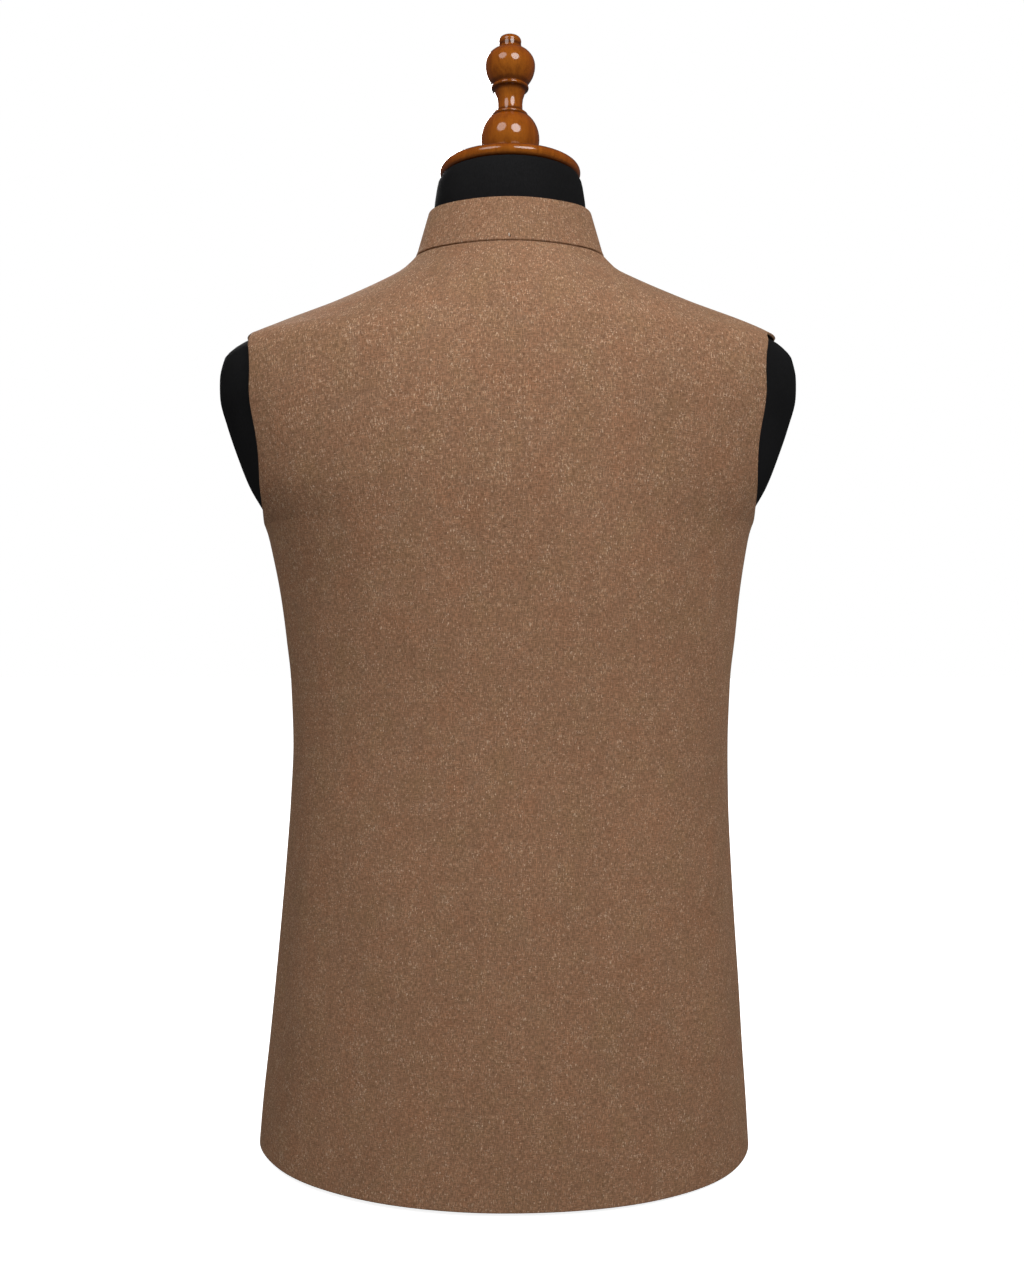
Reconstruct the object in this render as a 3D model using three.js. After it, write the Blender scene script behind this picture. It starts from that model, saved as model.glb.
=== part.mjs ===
// A sleeveless waistcoat with a stand collar, shown on a limbless dress form with a turned wooden finial.
// Millimetres, +Z up. The wearer faces -Y, and the wearer's left is +X.
// The origin is the middle of the form's flat base, on the surface that it stands on.
import * as THREE from "three";

// Cloth and seams
const CLOTH = 2.0; // face cloth, interlining and lining together
const COLLAR_CLOTH = 2.4; // the stand collar is stiffened
const SEAM = 0.3; // between two pieces where they are sewn
const HEM_Z = 4.0; // the hem hangs just above the surface

// Places where seams lie, as angles round the body: 0 is the wearer's left side, 90 degrees the centre back
const SIDE_SEAM = -0.04;
const SHOULDER_SEAM = -0.06;
const CENTRE_FRONT = -Math.PI / 2;

// Every horizontal section of the cloth's outer face. back and front are how far the centre back and the
// centre front stand from the side line (y = 0), midY is where the widest place lies, swayX is how far the
// cloth hangs to the wearer's left, and toForm is the distance from the cloth's outer face to the form. The
// rows above the collar's seam close the shoulders inside the form's neck.
const SECTIONS = [
  { z: 0, halfWidth: 193.6, back: 141, front: 120, midY: 0, swayX: 5.2, toForm: 12 },
  { z: 38, halfWidth: 191, back: 140, front: 119.5, midY: 0, swayX: 4.6, toForm: 12 },
  { z: 84, halfWidth: 187, back: 138.5, front: 119, midY: 0, swayX: 3.6, toForm: 13 },
  { z: 131, halfWidth: 183.4, back: 136, front: 118, midY: 0, swayX: 2.6, toForm: 14 },
  { z: 178, halfWidth: 179.7, back: 133.5, front: 117, midY: 0, swayX: 2, toForm: 14 },
  { z: 226, halfWidth: 176.2, back: 131, front: 115.5, midY: 0, swayX: 1.4, toForm: 14 },
  { z: 272, halfWidth: 173.4, back: 128.5, front: 114, midY: 0, swayX: 0.8, toForm: 13 },
  { z: 320, halfWidth: 172, back: 127, front: 113, midY: 0, swayX: 0, toForm: 12 },
  { z: 367, halfWidth: 173.6, back: 127.6, front: 114.5, midY: 0, swayX: 0, toForm: 10 },
  { z: 398, halfWidth: 177.1, back: 128.6, front: 116.5, midY: 0, swayX: 0, toForm: 8 },
  { z: 430, halfWidth: 181, back: 130, front: 118.5, midY: 0, swayX: 0.4, toForm: 6.2 },
  { z: 461, halfWidth: 186.2, back: 131.6, front: 119.6, midY: 0, swayX: 1, toForm: 5.2 },
  { z: 485, halfWidth: 191.4, back: 132.8, front: 119.4, midY: 0, swayX: 1.4, toForm: 4.6 },
  { z: 495, halfWidth: 196.4, back: 133.2, front: 119, midY: 0, swayX: 1.5, toForm: 4.6 },
  { z: 517, halfWidth: 208.4, back: 134, front: 116.5, midY: 0, swayX: 1.6, toForm: 4.2 },
  { z: 541, halfWidth: 217.6, back: 134, front: 111, midY: 0, swayX: 1.6, toForm: 3.8 },
  { z: 565, halfWidth: 225.6, back: 133, front: 102, midY: 0, swayX: 1.6, toForm: 3.6 },
  { z: 588, halfWidth: 231.8, back: 131, front: 90, midY: 0, swayX: 1.6, toForm: 3.8 },
  { z: 604, halfWidth: 232.6, back: 128.4, front: 79, midY: 0, swayX: 1.6, toForm: 4.3 },
  { z: 620, halfWidth: 230, back: 125, front: 65.5, midY: 0, swayX: 1.4, toForm: 4.9 },
  { z: 630, halfWidth: 221.5, back: 122, front: 59, midY: 0.5, swayX: 0.6, toForm: 4.5 },
  { z: 638, halfWidth: 209, back: 119, front: 54, midY: 1, swayX: -1.2, toForm: 4.1 },
  { z: 645, halfWidth: 194, back: 115.6, front: 49.5, midY: 1.5, swayX: -2.2, toForm: 4.2 },
  { z: 661, halfWidth: 150.6, back: 107, front: 38, midY: 4, swayX: -1.8, toForm: 4.2 },
  { z: 677, halfWidth: 109, back: 97, front: 25.5, midY: 8, swayX: -0.6, toForm: 3.6 },
  { z: 686, halfWidth: 88.5, back: 90.5, front: 17.5, midY: 11, swayX: 0.2, toForm: 3.2 },
  { z: 693, halfWidth: 79, back: 84.5, front: 11.5, midY: 13, swayX: 0, toForm: 3.8 },
  { z: 697, halfWidth: 74.4, back: 80.6, front: 8, midY: 14, swayX: 0, toForm: 3.8 },
  { z: 703, halfWidth: 60, back: 68, front: 14, midY: 10, swayX: 0, toForm: 3 },
  { z: 712, halfWidth: 40, back: 45, front: 35, midY: 5, swayX: 0, toForm: 0 },
];

// How full a section's corners are at the back's left and right and in front: 2 is an ellipse, and more is
// squarer. The cloth falls away sooner at the wearer's left.
const FULLNESS = [
  { z: 0, backLeft: 1.97, backRight: 2.2, front: 2.3 },
  { z: 440, backLeft: 1.97, backRight: 2.2, front: 2.3 },
  { z: 485, backLeft: 2.05, backRight: 2.2, front: 2.3 },
  { z: 517, backLeft: 2.1, backRight: 2.15, front: 2.3 },
  { z: 565, backLeft: 2.1, backRight: 2.1, front: 2.38 },
  { z: 604, backLeft: 2.1, backRight: 2.1, front: 2.25 },
  { z: 638, backLeft: 2.1, backRight: 2.1, front: 2 },
  { z: 661, backLeft: 2, backRight: 2, front: 2 },
];

// How far the back of a section is drawn in beside its middle, where the shoulders slope away behind
const SHOULDER_SLOPE = [
  { z: 565, drawnIn: 0 },
  { z: 604, drawnIn: 0.02 },
  { z: 620, drawnIn: 0.05 },
  { z: 630, drawnIn: 0.14 },
  { z: 638, drawnIn: 0.3 },
  { z: 645, drawnIn: 0.37 },
  { z: 661, drawnIn: 0.4 },
  { z: 677, drawnIn: 0.37 },
  { z: 686, drawnIn: 0.3 },
  { z: 693, drawnIn: 0.16 },
  { z: 697, drawnIn: 0.08 },
  { z: 712, drawnIn: 0 },
];

// The armhole's edge, seen from the side. backShare and frontShare are how far it reaches towards the centre
// back and the centre front. It is squarer than an ellipse, most of all below, and wider towards the shoulder.
const ARMHOLE = { bottomZ: 488, topZ: 637.5, backShare: 0.592, frontShare: 0.62, taper: 0.2 };
const ARMHOLE_SQUARENESS = { below: 3.3, above: 3.15 };

// The neckline, where the collar is sewn on: level round the back, and an oval of this half width in front
const NECKLINE = { napeZ: 691.5, sideZ: 697, frontZ: 622, ovalHalfWidth: 74.4, ovalPower: 1.8 };

// The largest soft folds of the cloth: where each one runs and how far it sinks in. angle is in degrees round
// the body, and drift is how many degrees it moves between its lower and its upper end.
const FOLDS = [
  { angle: 24, drift: -6, fromZ: -60, toZ: 330, width: 9, depth: 2.2 },
  { angle: 156, drift: 5, fromZ: -60, toZ: 300, width: 10, depth: 1.8 },
  { angle: 18, drift: 20, fromZ: 350, toZ: 500, width: 9, depth: 1.6 },
  { angle: 163, drift: -20, fromZ: 340, toZ: 496, width: 9, depth: 1.6 },
  { angle: -42, drift: -5, fromZ: -60, toZ: 320, width: 10, depth: 2.0 },
  { angle: 222, drift: 6, fromZ: -60, toZ: 340, width: 10, depth: 2.0 },
  { angle: -22, drift: -18, fromZ: 350, toZ: 495, width: 9, depth: 1.5 },
  { angle: 203, drift: 18, fromZ: 345, toZ: 500, width: 9, depth: 1.5 },
];

// The front closing
const OVERLAP = 17; // each front runs this far past the centre front
const LIFT = CLOTH + 0.7; // the left front lies on the right one
const LIFT_FULL_X = 21;
const LIFT_ENDS_X = 44;
const BUTTON = { radius: 10.5, thick: 3.6, rim: 1.8, dish: 0.9 };
const BUTTONS = { count: 5, topZ: 604, pitch: 92 };

// The stand collar
const COLLAR = { height: 36.8, frontHeight: 34, frontGap: 3, cornerRadius: 14, rows: 3, firstStep: 0.02 };
const COLLAR_LEAN = { back: 0.27, side: 0.28, front: 0.2 }; // towards the neck, in radians

// The form's neck, a round column that the shoulders run into, and the wooden top on it
const NECK = [
  { z: 600, radius: 48 },
  { z: 690, radius: 57 },
  { z: 724, radius: 59.6 },
  { z: 738, radius: 60.2 },
  { z: 752, radius: 58.6 },
  { z: 760, radius: 57 },
  { z: 763.6, radius: 55 },
];
const NECK_BLEND = 14; // how sharply the shoulders turn into the neck
const NECK_TOP = { y: 5, z: 763.6 };
const CAP = { radius: 56, thick: 10 };

// Facets
const ROWS = { body: 13, armhole: 12, shoulder: 6, crowding: 1.5 };
const BACK_COLUMNS = 28;
const FRONT_COLUMNS = 15;
const SIDES = { form: 40, cap: 32, finial: 24, button: 20 };
const FORM_ROWS = [
  { toZ: 488, rows: 9 },
  { toZ: 604, rows: 8 },
  { toZ: 645, rows: 7 },
  { toZ: 712, rows: 8 },
  { toZ: 763.6, rows: 5 },
];

const lerp = THREE.MathUtils.lerp;
const smooth = THREE.MathUtils.smoothstep;

// A smooth curve through one column of the table, which never overshoots its rows
function curveOf(rows, column) {
  const z = rows.map((row) => row.z);
  const value = rows.map((row) => row[column]);
  const step = z.slice(1).map((next, i) => (value[i + 1] - value[i]) / (next - z[i]));
  const slope = value.map((_, i) => {
    if (i === 0) return step[0];
    if (i === step.length) return step[i - 1];
    const [a, b] = [step[i - 1], step[i]];
    return a * b > 0 ? (2 * a * b) / (a + b) : 0;
  });
  return (at) => {
    const height = THREE.MathUtils.clamp(at, z[0], z[z.length - 1]);
    let i = 0;
    while (i < z.length - 2 && height > z[i + 1]) i++;
    const span = z[i + 1] - z[i];
    const s = (height - z[i]) / span;
    const [s2, s3] = [s * s, s * s * s];
    return (
      (2 * s3 - 3 * s2 + 1) * value[i] +
      (s3 - 2 * s2 + s) * span * slope[i] +
      (3 * s2 - 2 * s3) * value[i + 1] +
      (s3 - s2) * span * slope[i + 1]
    );
  };
}

// One such curve for every column of a table but its heights
function curvesOf(rows) {
  const names = Object.keys(rows[0]).filter((name) => name !== "z");
  return Object.fromEntries(names.map((name) => [name, curveOf(rows, name)]));
}

const section = curvesOf(SECTIONS);
const fullness = curvesOf(FULLNESS);
const shoulderSlope = curvesOf(SHOULDER_SLOPE);
const neck = curvesOf(NECK);

// The cloth's outer face before its folds, at an angle round the body and a height
function bodyPoint(angle, z) {
  const [c, s] = [Math.cos(angle), Math.sin(angle)];
  const backPower = c > 0 ? fullness.backLeft(z) : fullness.backRight(z);
  const power = s > 0 ? backPower : fullness.front(z);
  const stretch = (Math.abs(c) ** power + Math.abs(s) ** power) ** (-1 / power);
  const midY = section.midY(z);
  const backDepth = (section.back(z) - midY) * (1 - shoulderSlope.drawnIn(z) * c * c);
  const depth = s > 0 ? backDepth : section.front(z) + midY;
  return new THREE.Vector3(
    section.swayX(z) + section.halfWidth(z) * c * stretch,
    midY + depth * s * stretch,
    z,
  );
}

function normalOf(pointAt, angle, z) {
  const [turn, rise] = [0.002, 0.4];
  const around = pointAt(angle + turn, z).sub(pointAt(angle - turn, z));
  const up = pointAt(angle, z + rise).sub(pointAt(angle, z - rise));
  return around.cross(up).normalize();
}

// How far the cloth sinks into its soft folds
function foldDepth(angle, z) {
  const degrees = THREE.MathUtils.radToDeg(angle);
  return FOLDS.reduce((sum, fold) => {
    const along = (z - fold.fromZ) / (fold.toZ - fold.fromZ);
    if (along <= 0 || along >= 1) return sum;
    const across = (degrees - fold.angle - fold.drift * along) / fold.width;
    return sum + fold.depth * Math.sin(Math.PI * along) ** 1.5 * Math.exp(-across * across);
  }, 0);
}

function clothPoint(angle, z) {
  return bodyPoint(angle, z).addScaledVector(normalOf(bodyPoint, angle, z), -foldDepth(angle, z));
}

// The angle at which a section reaches a given y, between the centre front and the centre back
function angleAtDepth(y, z) {
  let [low, high] = [-Math.PI / 2, Math.PI / 2];
  for (let i = 0; i < 40; i++) {
    const middle = (low + high) / 2;
    if (bodyPoint(middle, z).y < y) low = middle;
    else high = middle;
  }
  return (low + high) / 2;
}

// The armhole's edge, from its bottom (turn = -90 degrees) to the shoulder seam (turn = 90 degrees)
function armholeEdge(turn, towardsBack) {
  const power = 2 / (turn > 0 ? ARMHOLE_SQUARENESS.above : ARMHOLE_SQUARENESS.below);
  const half = (ARMHOLE.topZ - ARMHOLE.bottomZ) / 2;
  const rise = Math.sign(Math.sin(turn)) * Math.abs(Math.sin(turn)) ** power;
  const z = ARMHOLE.bottomZ + half + half * rise;
  const bottomY = bodyPoint(SIDE_SEAM, ARMHOLE.bottomZ).y;
  const topY = bodyPoint(SHOULDER_SEAM, ARMHOLE.topZ).y;
  const seamY = lerp(bottomY, topY, (rise + 1) / 2);
  const reach = towardsBack ? ARMHOLE.backShare * section.back(z) : -ARMHOLE.frontShare * section.front(z);
  const y = seamY + reach * Math.abs(Math.cos(turn)) ** power * (1 + ARMHOLE.taper * Math.sin(turn));
  return { angle: angleAtDepth(y, z), z };
}

// How far a point is from the centre front's or centre back's line, which sways with the cloth
const fromCentre = (point) => point.x - section.swayX(point.z);

// The height of the neckline at an angle round the body
function necklineZ(angle) {
  const { napeZ, sideZ, frontZ, ovalHalfWidth, ovalPower } = NECKLINE;
  const s = Math.sin(angle);
  if (s > 0) return lerp(sideZ, napeZ, s * s);
  let [low, high] = [frontZ, sideZ];
  for (let i = 0; i < 40; i++) {
    const middle = (low + high) / 2;
    const across = Math.min(1, Math.abs(fromCentre(bodyPoint(angle, middle))) / ovalHalfWidth);
    const ovalZ = sideZ - (sideZ - frontZ) * (1 - across ** ovalPower) ** (1 / ovalPower);
    if (middle < ovalZ) low = middle;
    else high = middle;
  }
  return (low + high) / 2;
}

// Half a seam's gap, as an angle
function halfSeam(angle, z) {
  const turn = 0.01;
  return ((SEAM / 2) * 2 * turn) / bodyPoint(angle + turn, z).distanceTo(bodyPoint(angle - turn, z));
}

// Places a constant distance apart along a curve of { angle, z }, which runs over t from 0 to 1
function evenly(curve, count) {
  const fine = 400;
  const places = Array.from({ length: fine + 1 }, (_, i) => curve(i / fine));
  const points = places.map(({ angle, z }) => bodyPoint(angle, z));
  const length = [0];
  for (let i = 1; i <= fine; i++) length.push(length[i - 1] + points[i].distanceTo(points[i - 1]));
  return Array.from({ length: count + 1 }, (_, i) => {
    const wanted = (i / count) * length[fine];
    let k = 1;
    while (k < fine && length[k] < wanted) k++;
    const share = (wanted - length[k - 1]) / (length[k] - length[k - 1]);
    return curve((k - 1 + share) / fine);
  });
}

// The rows below the armhole lie closer together towards it
const bodyRowZ = (i) => lerp(ARMHOLE.bottomZ, HEM_Z, (1 - i / ROWS.body) ** ROWS.crowding);

// One edge of a panel from the hem to the neckline, along its side seam, its armhole and its shoulder seam
function outerEdge(towardsBack) {
  const side = towardsBack ? 1 : -1;
  const edge = [];
  for (let i = 0; i < ROWS.body; i++) {
    const z = bodyRowZ(i);
    edge.push({ angle: SIDE_SEAM + side * halfSeam(SIDE_SEAM, z), z });
  }
  const armhole = (t) => armholeEdge(lerp(-Math.PI / 2, Math.PI / 2, t), towardsBack);
  for (const { angle, z } of evenly(armhole, ROWS.armhole))
    edge.push({ angle: angle + side * halfSeam(angle, z), z });
  for (let i = 1; i <= ROWS.shoulder; i++) {
    const z = lerp(ARMHOLE.topZ, NECKLINE.sideZ, i / ROWS.shoulder);
    edge.push({ angle: SHOULDER_SEAM + side * halfSeam(SHOULDER_SEAM, z), z });
  }
  return edge;
}

// The angle at which a front is a given distance across from the centre front
function frontAngle(across, z) {
  return CENTRE_FRONT + Math.asin(across / section.halfWidth(z));
}

// The centre-front edge of the left front, with as many rows as its outer edge
function frontEdge() {
  const upperRows = ROWS.armhole + ROWS.shoulder;
  const topZ = necklineZ(frontAngle(-OVERLAP, NECKLINE.frontZ));
  const edge = [];
  for (let i = 0; i <= ROWS.body; i++) {
    const z = bodyRowZ(i);
    edge.push({ angle: frontAngle(-OVERLAP, z), z });
  }
  for (let i = 1; i <= upperRows; i++) {
    const z = lerp(ARMHOLE.bottomZ, topZ, i / upperRows);
    edge.push({ angle: frontAngle(-OVERLAP, z), z });
  }
  return edge;
}

// A grid of (angle, z) over a panel from its two long edges and its neckline. Above the side seam it is
// blended from all four edges (a Coons patch), so that rows bend from the shoulder down to the neckline.
function panelGrid(first, last, neckline) {
  const across = neckline.length - 1;
  const start = ROWS.body;
  const upperRows = first.length - 1 - start;
  return first.map((from, row) => {
    const to = last[row];
    const v = Math.max(0, (row - start) / upperRows);
    return neckline.map((topAngle, i) => {
      const a = i / across;
      const blend = (key, top) => {
        const straight = lerp(from[key], to[key], a);
        if (v === 0) return straight;
        const topStraight = lerp(first[first.length - 1][key], last[last.length - 1][key], a);
        return straight + v * (top - topStraight);
      };
      return { angle: blend("angle", topAngle), z: blend("z", necklineZ(topAngle)) };
    });
  });
}

// A closed shell from a grid of outer points and the matching inner points
function shell(outer, inner) {
  const [rows, across] = [outer.length, outer[0].length];
  const points = [...outer.flat(), ...inner.flat()];
  const at = (row, i, side) => side * rows * across + row * across + i;
  const index = [];
  const quad = (a, b, c, d) => index.push(a, b, c, a, c, d);
  for (let row = 0; row < rows - 1; row++)
    for (let i = 0; i < across - 1; i++) {
      quad(at(row, i, 0), at(row, i + 1, 0), at(row + 1, i + 1, 0), at(row + 1, i, 0));
      quad(at(row, i, 1), at(row + 1, i, 1), at(row + 1, i + 1, 1), at(row, i + 1, 1));
    }
  for (let i = 0; i < across - 1; i++) {
    quad(at(0, i + 1, 0), at(0, i, 0), at(0, i, 1), at(0, i + 1, 1));
    quad(at(rows - 1, i, 0), at(rows - 1, i + 1, 0), at(rows - 1, i + 1, 1), at(rows - 1, i, 1));
  }
  for (let row = 0; row < rows - 1; row++) {
    quad(at(row, 0, 0), at(row + 1, 0, 0), at(row + 1, 0, 1), at(row, 0, 1));
    const end = across - 1;
    quad(at(row + 1, end, 0), at(row, end, 0), at(row, end, 1), at(row + 1, end, 1));
  }
  return facingOut(points, index);
}

// A geometry from points and triangles, turned so that its faces point out
function facingOut(points, index) {
  let volume = 0;
  for (let i = 0; i < index.length; i += 3) {
    const [a, b, c] = [points[index[i]], points[index[i + 1]], points[index[i + 2]]];
    volume += a.dot(b.clone().cross(c));
  }
  const faces = volume > 0 ? index : index.slice().reverse();
  const geometry = new THREE.BufferGeometry().setFromPoints(points);
  geometry.setIndex(faces);
  geometry.computeVertexNormals();
  return geometry;
}

// A panel's cloth: its outer face moved out by lift(point), and its inner face a cloth's thickness behind
function clothPanel(grid, lift = () => 0) {
  const outer = [];
  const inner = [];
  for (const row of grid) {
    const places = row.map(({ angle, z }) => {
      const point = clothPoint(angle, z);
      const normal = normalOf(clothPoint, angle, z);
      return { normal, point: point.addScaledVector(normal, lift(point)) };
    });
    outer.push(places.map(({ point }) => point));
    inner.push(places.map(({ point, normal }) => point.clone().addScaledVector(normal, -CLOTH)));
  }
  return shell(outer, inner);
}

// The same places on the wearer's right
const mirrored = (edge) => edge.map(({ angle, z }) => ({ angle: Math.PI - angle, z }));

// The neckline's columns, from the shoulder seam on the wearer's left
const shoulderTop = (side) => SHOULDER_SEAM + side * halfSeam(SHOULDER_SEAM, NECKLINE.sideZ);
const frontTop = frontAngle(-OVERLAP, NECKLINE.frontZ);
function necklineAngles(from, to, count) {
  const neckline = (t) => ({ angle: lerp(from, to, t), z: necklineZ(lerp(from, to, t)) });
  return evenly(neckline, count).map(({ angle }) => angle);
}
const BACK_NECK = necklineAngles(shoulderTop(1), Math.PI - shoulderTop(1), BACK_COLUMNS);
const FRONT_NECK = necklineAngles(shoulderTop(-1), frontTop, FRONT_COLUMNS);

function back() {
  const left = outerEdge(true);
  return clothPanel(panelGrid(left, mirrored(left), BACK_NECK));
}

// The left front lies over the right one, so it rises as it nears the centre front
const overlapLift = (point) => LIFT * (1 - smooth(fromCentre(point), LIFT_FULL_X, LIFT_ENDS_X));

function frontLeft() {
  return clothPanel(panelGrid(outerEdge(false), frontEdge(), FRONT_NECK), overlapLift);
}

function frontRight() {
  const grid = panelGrid(outerEdge(false), frontEdge(), FRONT_NECK);
  return clothPanel(grid.map((row) => mirrored(row)));
}

// The stand collar, sewn along the neckline from one side of the centre front round the nape to the other
function collar() {
  const endAngle = frontAngle(COLLAR.frontGap, NECKLINE.frontZ);
  const leftFront = FRONT_NECK.filter((angle) => angle > endAngle + COLLAR.firstStep).reverse();
  const half = [endAngle, ...leftFront, ...BACK_NECK.slice(0, BACK_COLUMNS / 2 + 1)];
  const angles = [...half, ...half.slice(0, -1).reverse().map((angle) => Math.PI - angle)];
  const base = angles.map((angle) => {
    const point = bodyPoint(angle, necklineZ(angle));
    const rise = angle < 0 ? overlapLift(point) : 0;
    return point.addScaledVector(normalOf(bodyPoint, angle, point.z), rise);
  });
  const distance = [0];
  for (let i = 1; i < base.length; i++) distance.push(distance[i - 1] + base[i].distanceTo(base[i - 1]));
  const length = distance[base.length - 1];
  const sections = base.map((point, i) => {
    const nearestEnd = Math.min(distance[i], length - distance[i]);
    return collarSection(angles[i], point, base[i + 1] ?? point, base[i - 1] ?? point, nearestEnd);
  });
  const rows = Array.from({ length: COLLAR.rows + 1 }, (_, row) => row);
  return shell(
    rows.map((row) => sections.map((section) => section[row].outer)),
    rows.map((row) => sections.map((section) => section[row].inner)),
  );
}

// The collar's section at one place of its seam, from the seam up to its top edge
function collarSection(angle, point, next, previous, nearestEnd) {
  const s = Math.sin(angle);
  const lean = lerp(COLLAR_LEAN.side, s > 0 ? COLLAR_LEAN.back : COLLAR_LEAN.front, Math.abs(s));
  const short = Math.max(0, COLLAR.cornerRadius - nearestEnd);
  const corner = COLLAR.cornerRadius - Math.sqrt(COLLAR.cornerRadius ** 2 - short ** 2);
  const height = lerp(COLLAR.height, COLLAR.frontHeight, Math.max(0, -s)) - corner;
  const along = next.clone().sub(previous).normalize();
  const panelNormal = normalOf(bodyPoint, angle, point.z);
  const upPanel = panelNormal.clone().cross(along).normalize();
  const outwards = new THREE.Vector3(point.x, point.y - section.midY(NECKLINE.sideZ), 0).normalize();
  const upright = new THREE.Vector3(0, 0, Math.cos(lean)).addScaledVector(outwards, -Math.sin(lean));
  const direction = upright.addScaledVector(along, -upright.dot(along)).normalize();
  const collarNormal = along.clone().cross(direction).normalize();
  return Array.from({ length: COLLAR.rows + 1 }, (_, row) => {
    const outer = point
      .clone()
      .addScaledVector(upPanel, SEAM)
      .addScaledVector(direction, (height * row) / COLLAR.rows);
    const behind = row === 0 ? panelNormal : collarNormal;
    return { outer, inner: outer.clone().addScaledVector(behind, -COLLAR_CLOTH) };
  });
}

// A turned piece from its profile of [radius, height] pairs, standing on z = 0
function turned(profile, sides) {
  const geometry = new THREE.LatheGeometry(profile.map(([r, z]) => new THREE.Vector2(r, z)), sides);
  return geometry.rotateX(Math.PI / 2);
}

// Points on an arc of a profile: its centre's radius and height, its own radius, and two angles in degrees.
// rise is its height as a share of its radius.
function arc(r, z, radius, from, to, steps, rise = 1) {
  return Array.from({ length: steps + 1 }, (_, i) => {
    const angle = THREE.MathUtils.degToRad(lerp(from, to, i / steps));
    return [r + radius * Math.cos(angle), z + rise * radius * Math.sin(angle)];
  });
}

// A button with a round edge, and a dished middle inside its rim
function button() {
  const { radius, thick, rim, dish } = BUTTON;
  const edge = thick / 2;
  const profile = [
    [0, 0],
    [radius - edge, 0],
    ...arc(radius - edge, edge, edge, -60, 60, 4),
    [radius - edge - rim, thick],
    [radius - edge - rim - dish, thick - dish],
    [0, thick - dish],
  ];
  return turned(profile, SIDES.button);
}

// A button lies on the left front, on the centre front line, facing out of the cloth
function placeOnFront(mesh, z) {
  const angle = frontAngle(0, z);
  const normal = normalOf(clothPoint, angle, z);
  const point = clothPoint(angle, z).addScaledVector(normal, LIFT + 2 * SEAM);
  mesh.position.copy(point);
  mesh.quaternion.setFromUnitVectors(new THREE.Vector3(0, 0, 1), normal);
}

// The form's surface: the cloth's section less its toForm, run into the round neck
function formPoint(angle, z) {
  const point = bodyPoint(angle, z).addScaledVector(normalOf(bodyPoint, angle, z), -section.toForm(z));
  const fromNeck = new THREE.Vector2(point.x, point.y - NECK_TOP.y);
  const reach = fromNeck.length() ** NECK_BLEND + neck.radius(point.z) ** NECK_BLEND;
  fromNeck.setLength(reach ** (1 / NECK_BLEND));
  return point.set(fromNeck.x, fromNeck.y + NECK_TOP.y, point.z);
}

// The form's torso, shoulder caps and neck in one closed body
function formBody() {
  const heights = [0];
  for (const { toZ, rows } of FORM_ROWS) {
    const from = heights[heights.length - 1];
    for (let i = 1; i <= rows; i++) heights.push(lerp(from, toZ, i / rows));
  }
  const rings = heights.map((z, row) =>
    Array.from({ length: SIDES.form }, (_, i) => {
      const point = formPoint((i / SIDES.form) * 2 * Math.PI, z);
      if (row === 0) point.z = 0;
      return point;
    }),
  );
  const points = rings.flat();
  const index = [];
  for (let row = 0; row < rings.length - 1; row++)
    for (let i = 0; i < SIDES.form; i++) {
      const next = (i + 1) % SIDES.form;
      const [a, b, c, d] = [i, next, next + SIDES.form, i + SIDES.form].map((k) => k + row * SIDES.form);
      index.push(a, b, c, a, c, d);
    }
  const [bottom, top] = [points.length, points.length + 1];
  points.push(new THREE.Vector3(0, 0, 0), new THREE.Vector3(0, NECK_TOP.y, NECK_TOP.z));
  const last = (rings.length - 1) * SIDES.form;
  for (let i = 0; i < SIDES.form; i++) {
    const next = (i + 1) % SIDES.form;
    index.push(next, i, bottom, last + i, last + next, top);
  }
  return facingOut(points, index);
}

// The round wooden cap on the neck, with a full round edge
function neckCap() {
  const edge = CAP.thick / 2;
  const profile = [[0, 0], ...arc(CAP.radius - edge, edge, edge, -90, 90, 6), [0, CAP.thick]];
  return turned(profile, SIDES.cap);
}

// The turned finial: a foot ring, a bulb, a waist between two rings, a ball that is flatter on top and a knob
function finial() {
  const profile = [
    [0, 0],
    ...arc(20, 4, 4, -90, 90, 4),
    ...arc(0, 22.5, 23.4, -32, 44, 7),
    ...arc(12.6, 41.2, 1.8, -60, 80, 3),
    [10.2, 47],
    [9.9, 51],
    [10.4, 55],
    [12.2, 60.5],
    ...arc(13, 63.6, 1.9, -70, 70, 3),
    ...arc(0, 81.2, 20, -46, 0, 4),
    ...arc(0, 81.2, 20, 12, 62, 4, 0.76),
    ...arc(5, 100.4, 4, -20, 90, 4),
    [0, 104.6],
  ];
  return turned(profile, SIDES.finial);
}

const paint = (color, roughness) => new THREE.MeshStandardMaterial({ color, roughness, metalness: 0 });
const TWEED = paint(0x8a684f, 0.9);
const HORN = paint(0x3a261a, 0.35);
const JERSEY = paint(0x17181a, 0.85);
const WALNUT = paint(0x7a3f12, 0.25);

const waistcoat = new THREE.Group();
function add(name, geometry, material, z = 0, y = 0) {
  const mesh = new THREE.Mesh(geometry, material);
  mesh.name = name;
  mesh.position.set(0, y, z);
  waistcoat.add(mesh);
  return mesh;
}

add("back", back(), TWEED);
add("front_left", frontLeft(), TWEED);
add("front_right", frontRight(), TWEED);
add("collar", collar(), TWEED);
for (let i = 0; i < BUTTONS.count; i++)
  placeOnFront(add(`button_${i + 1}`, button(), HORN), BUTTONS.topZ - i * BUTTONS.pitch);
add("form_body", formBody(), JERSEY);
add("neck_cap", neckCap(), WALNUT, NECK_TOP.z + SEAM, NECK_TOP.y);
add("finial", finial(), WALNUT, NECK_TOP.z + CAP.thick + 2 * SEAM, NECK_TOP.y);

export default waistcoat;
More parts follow.
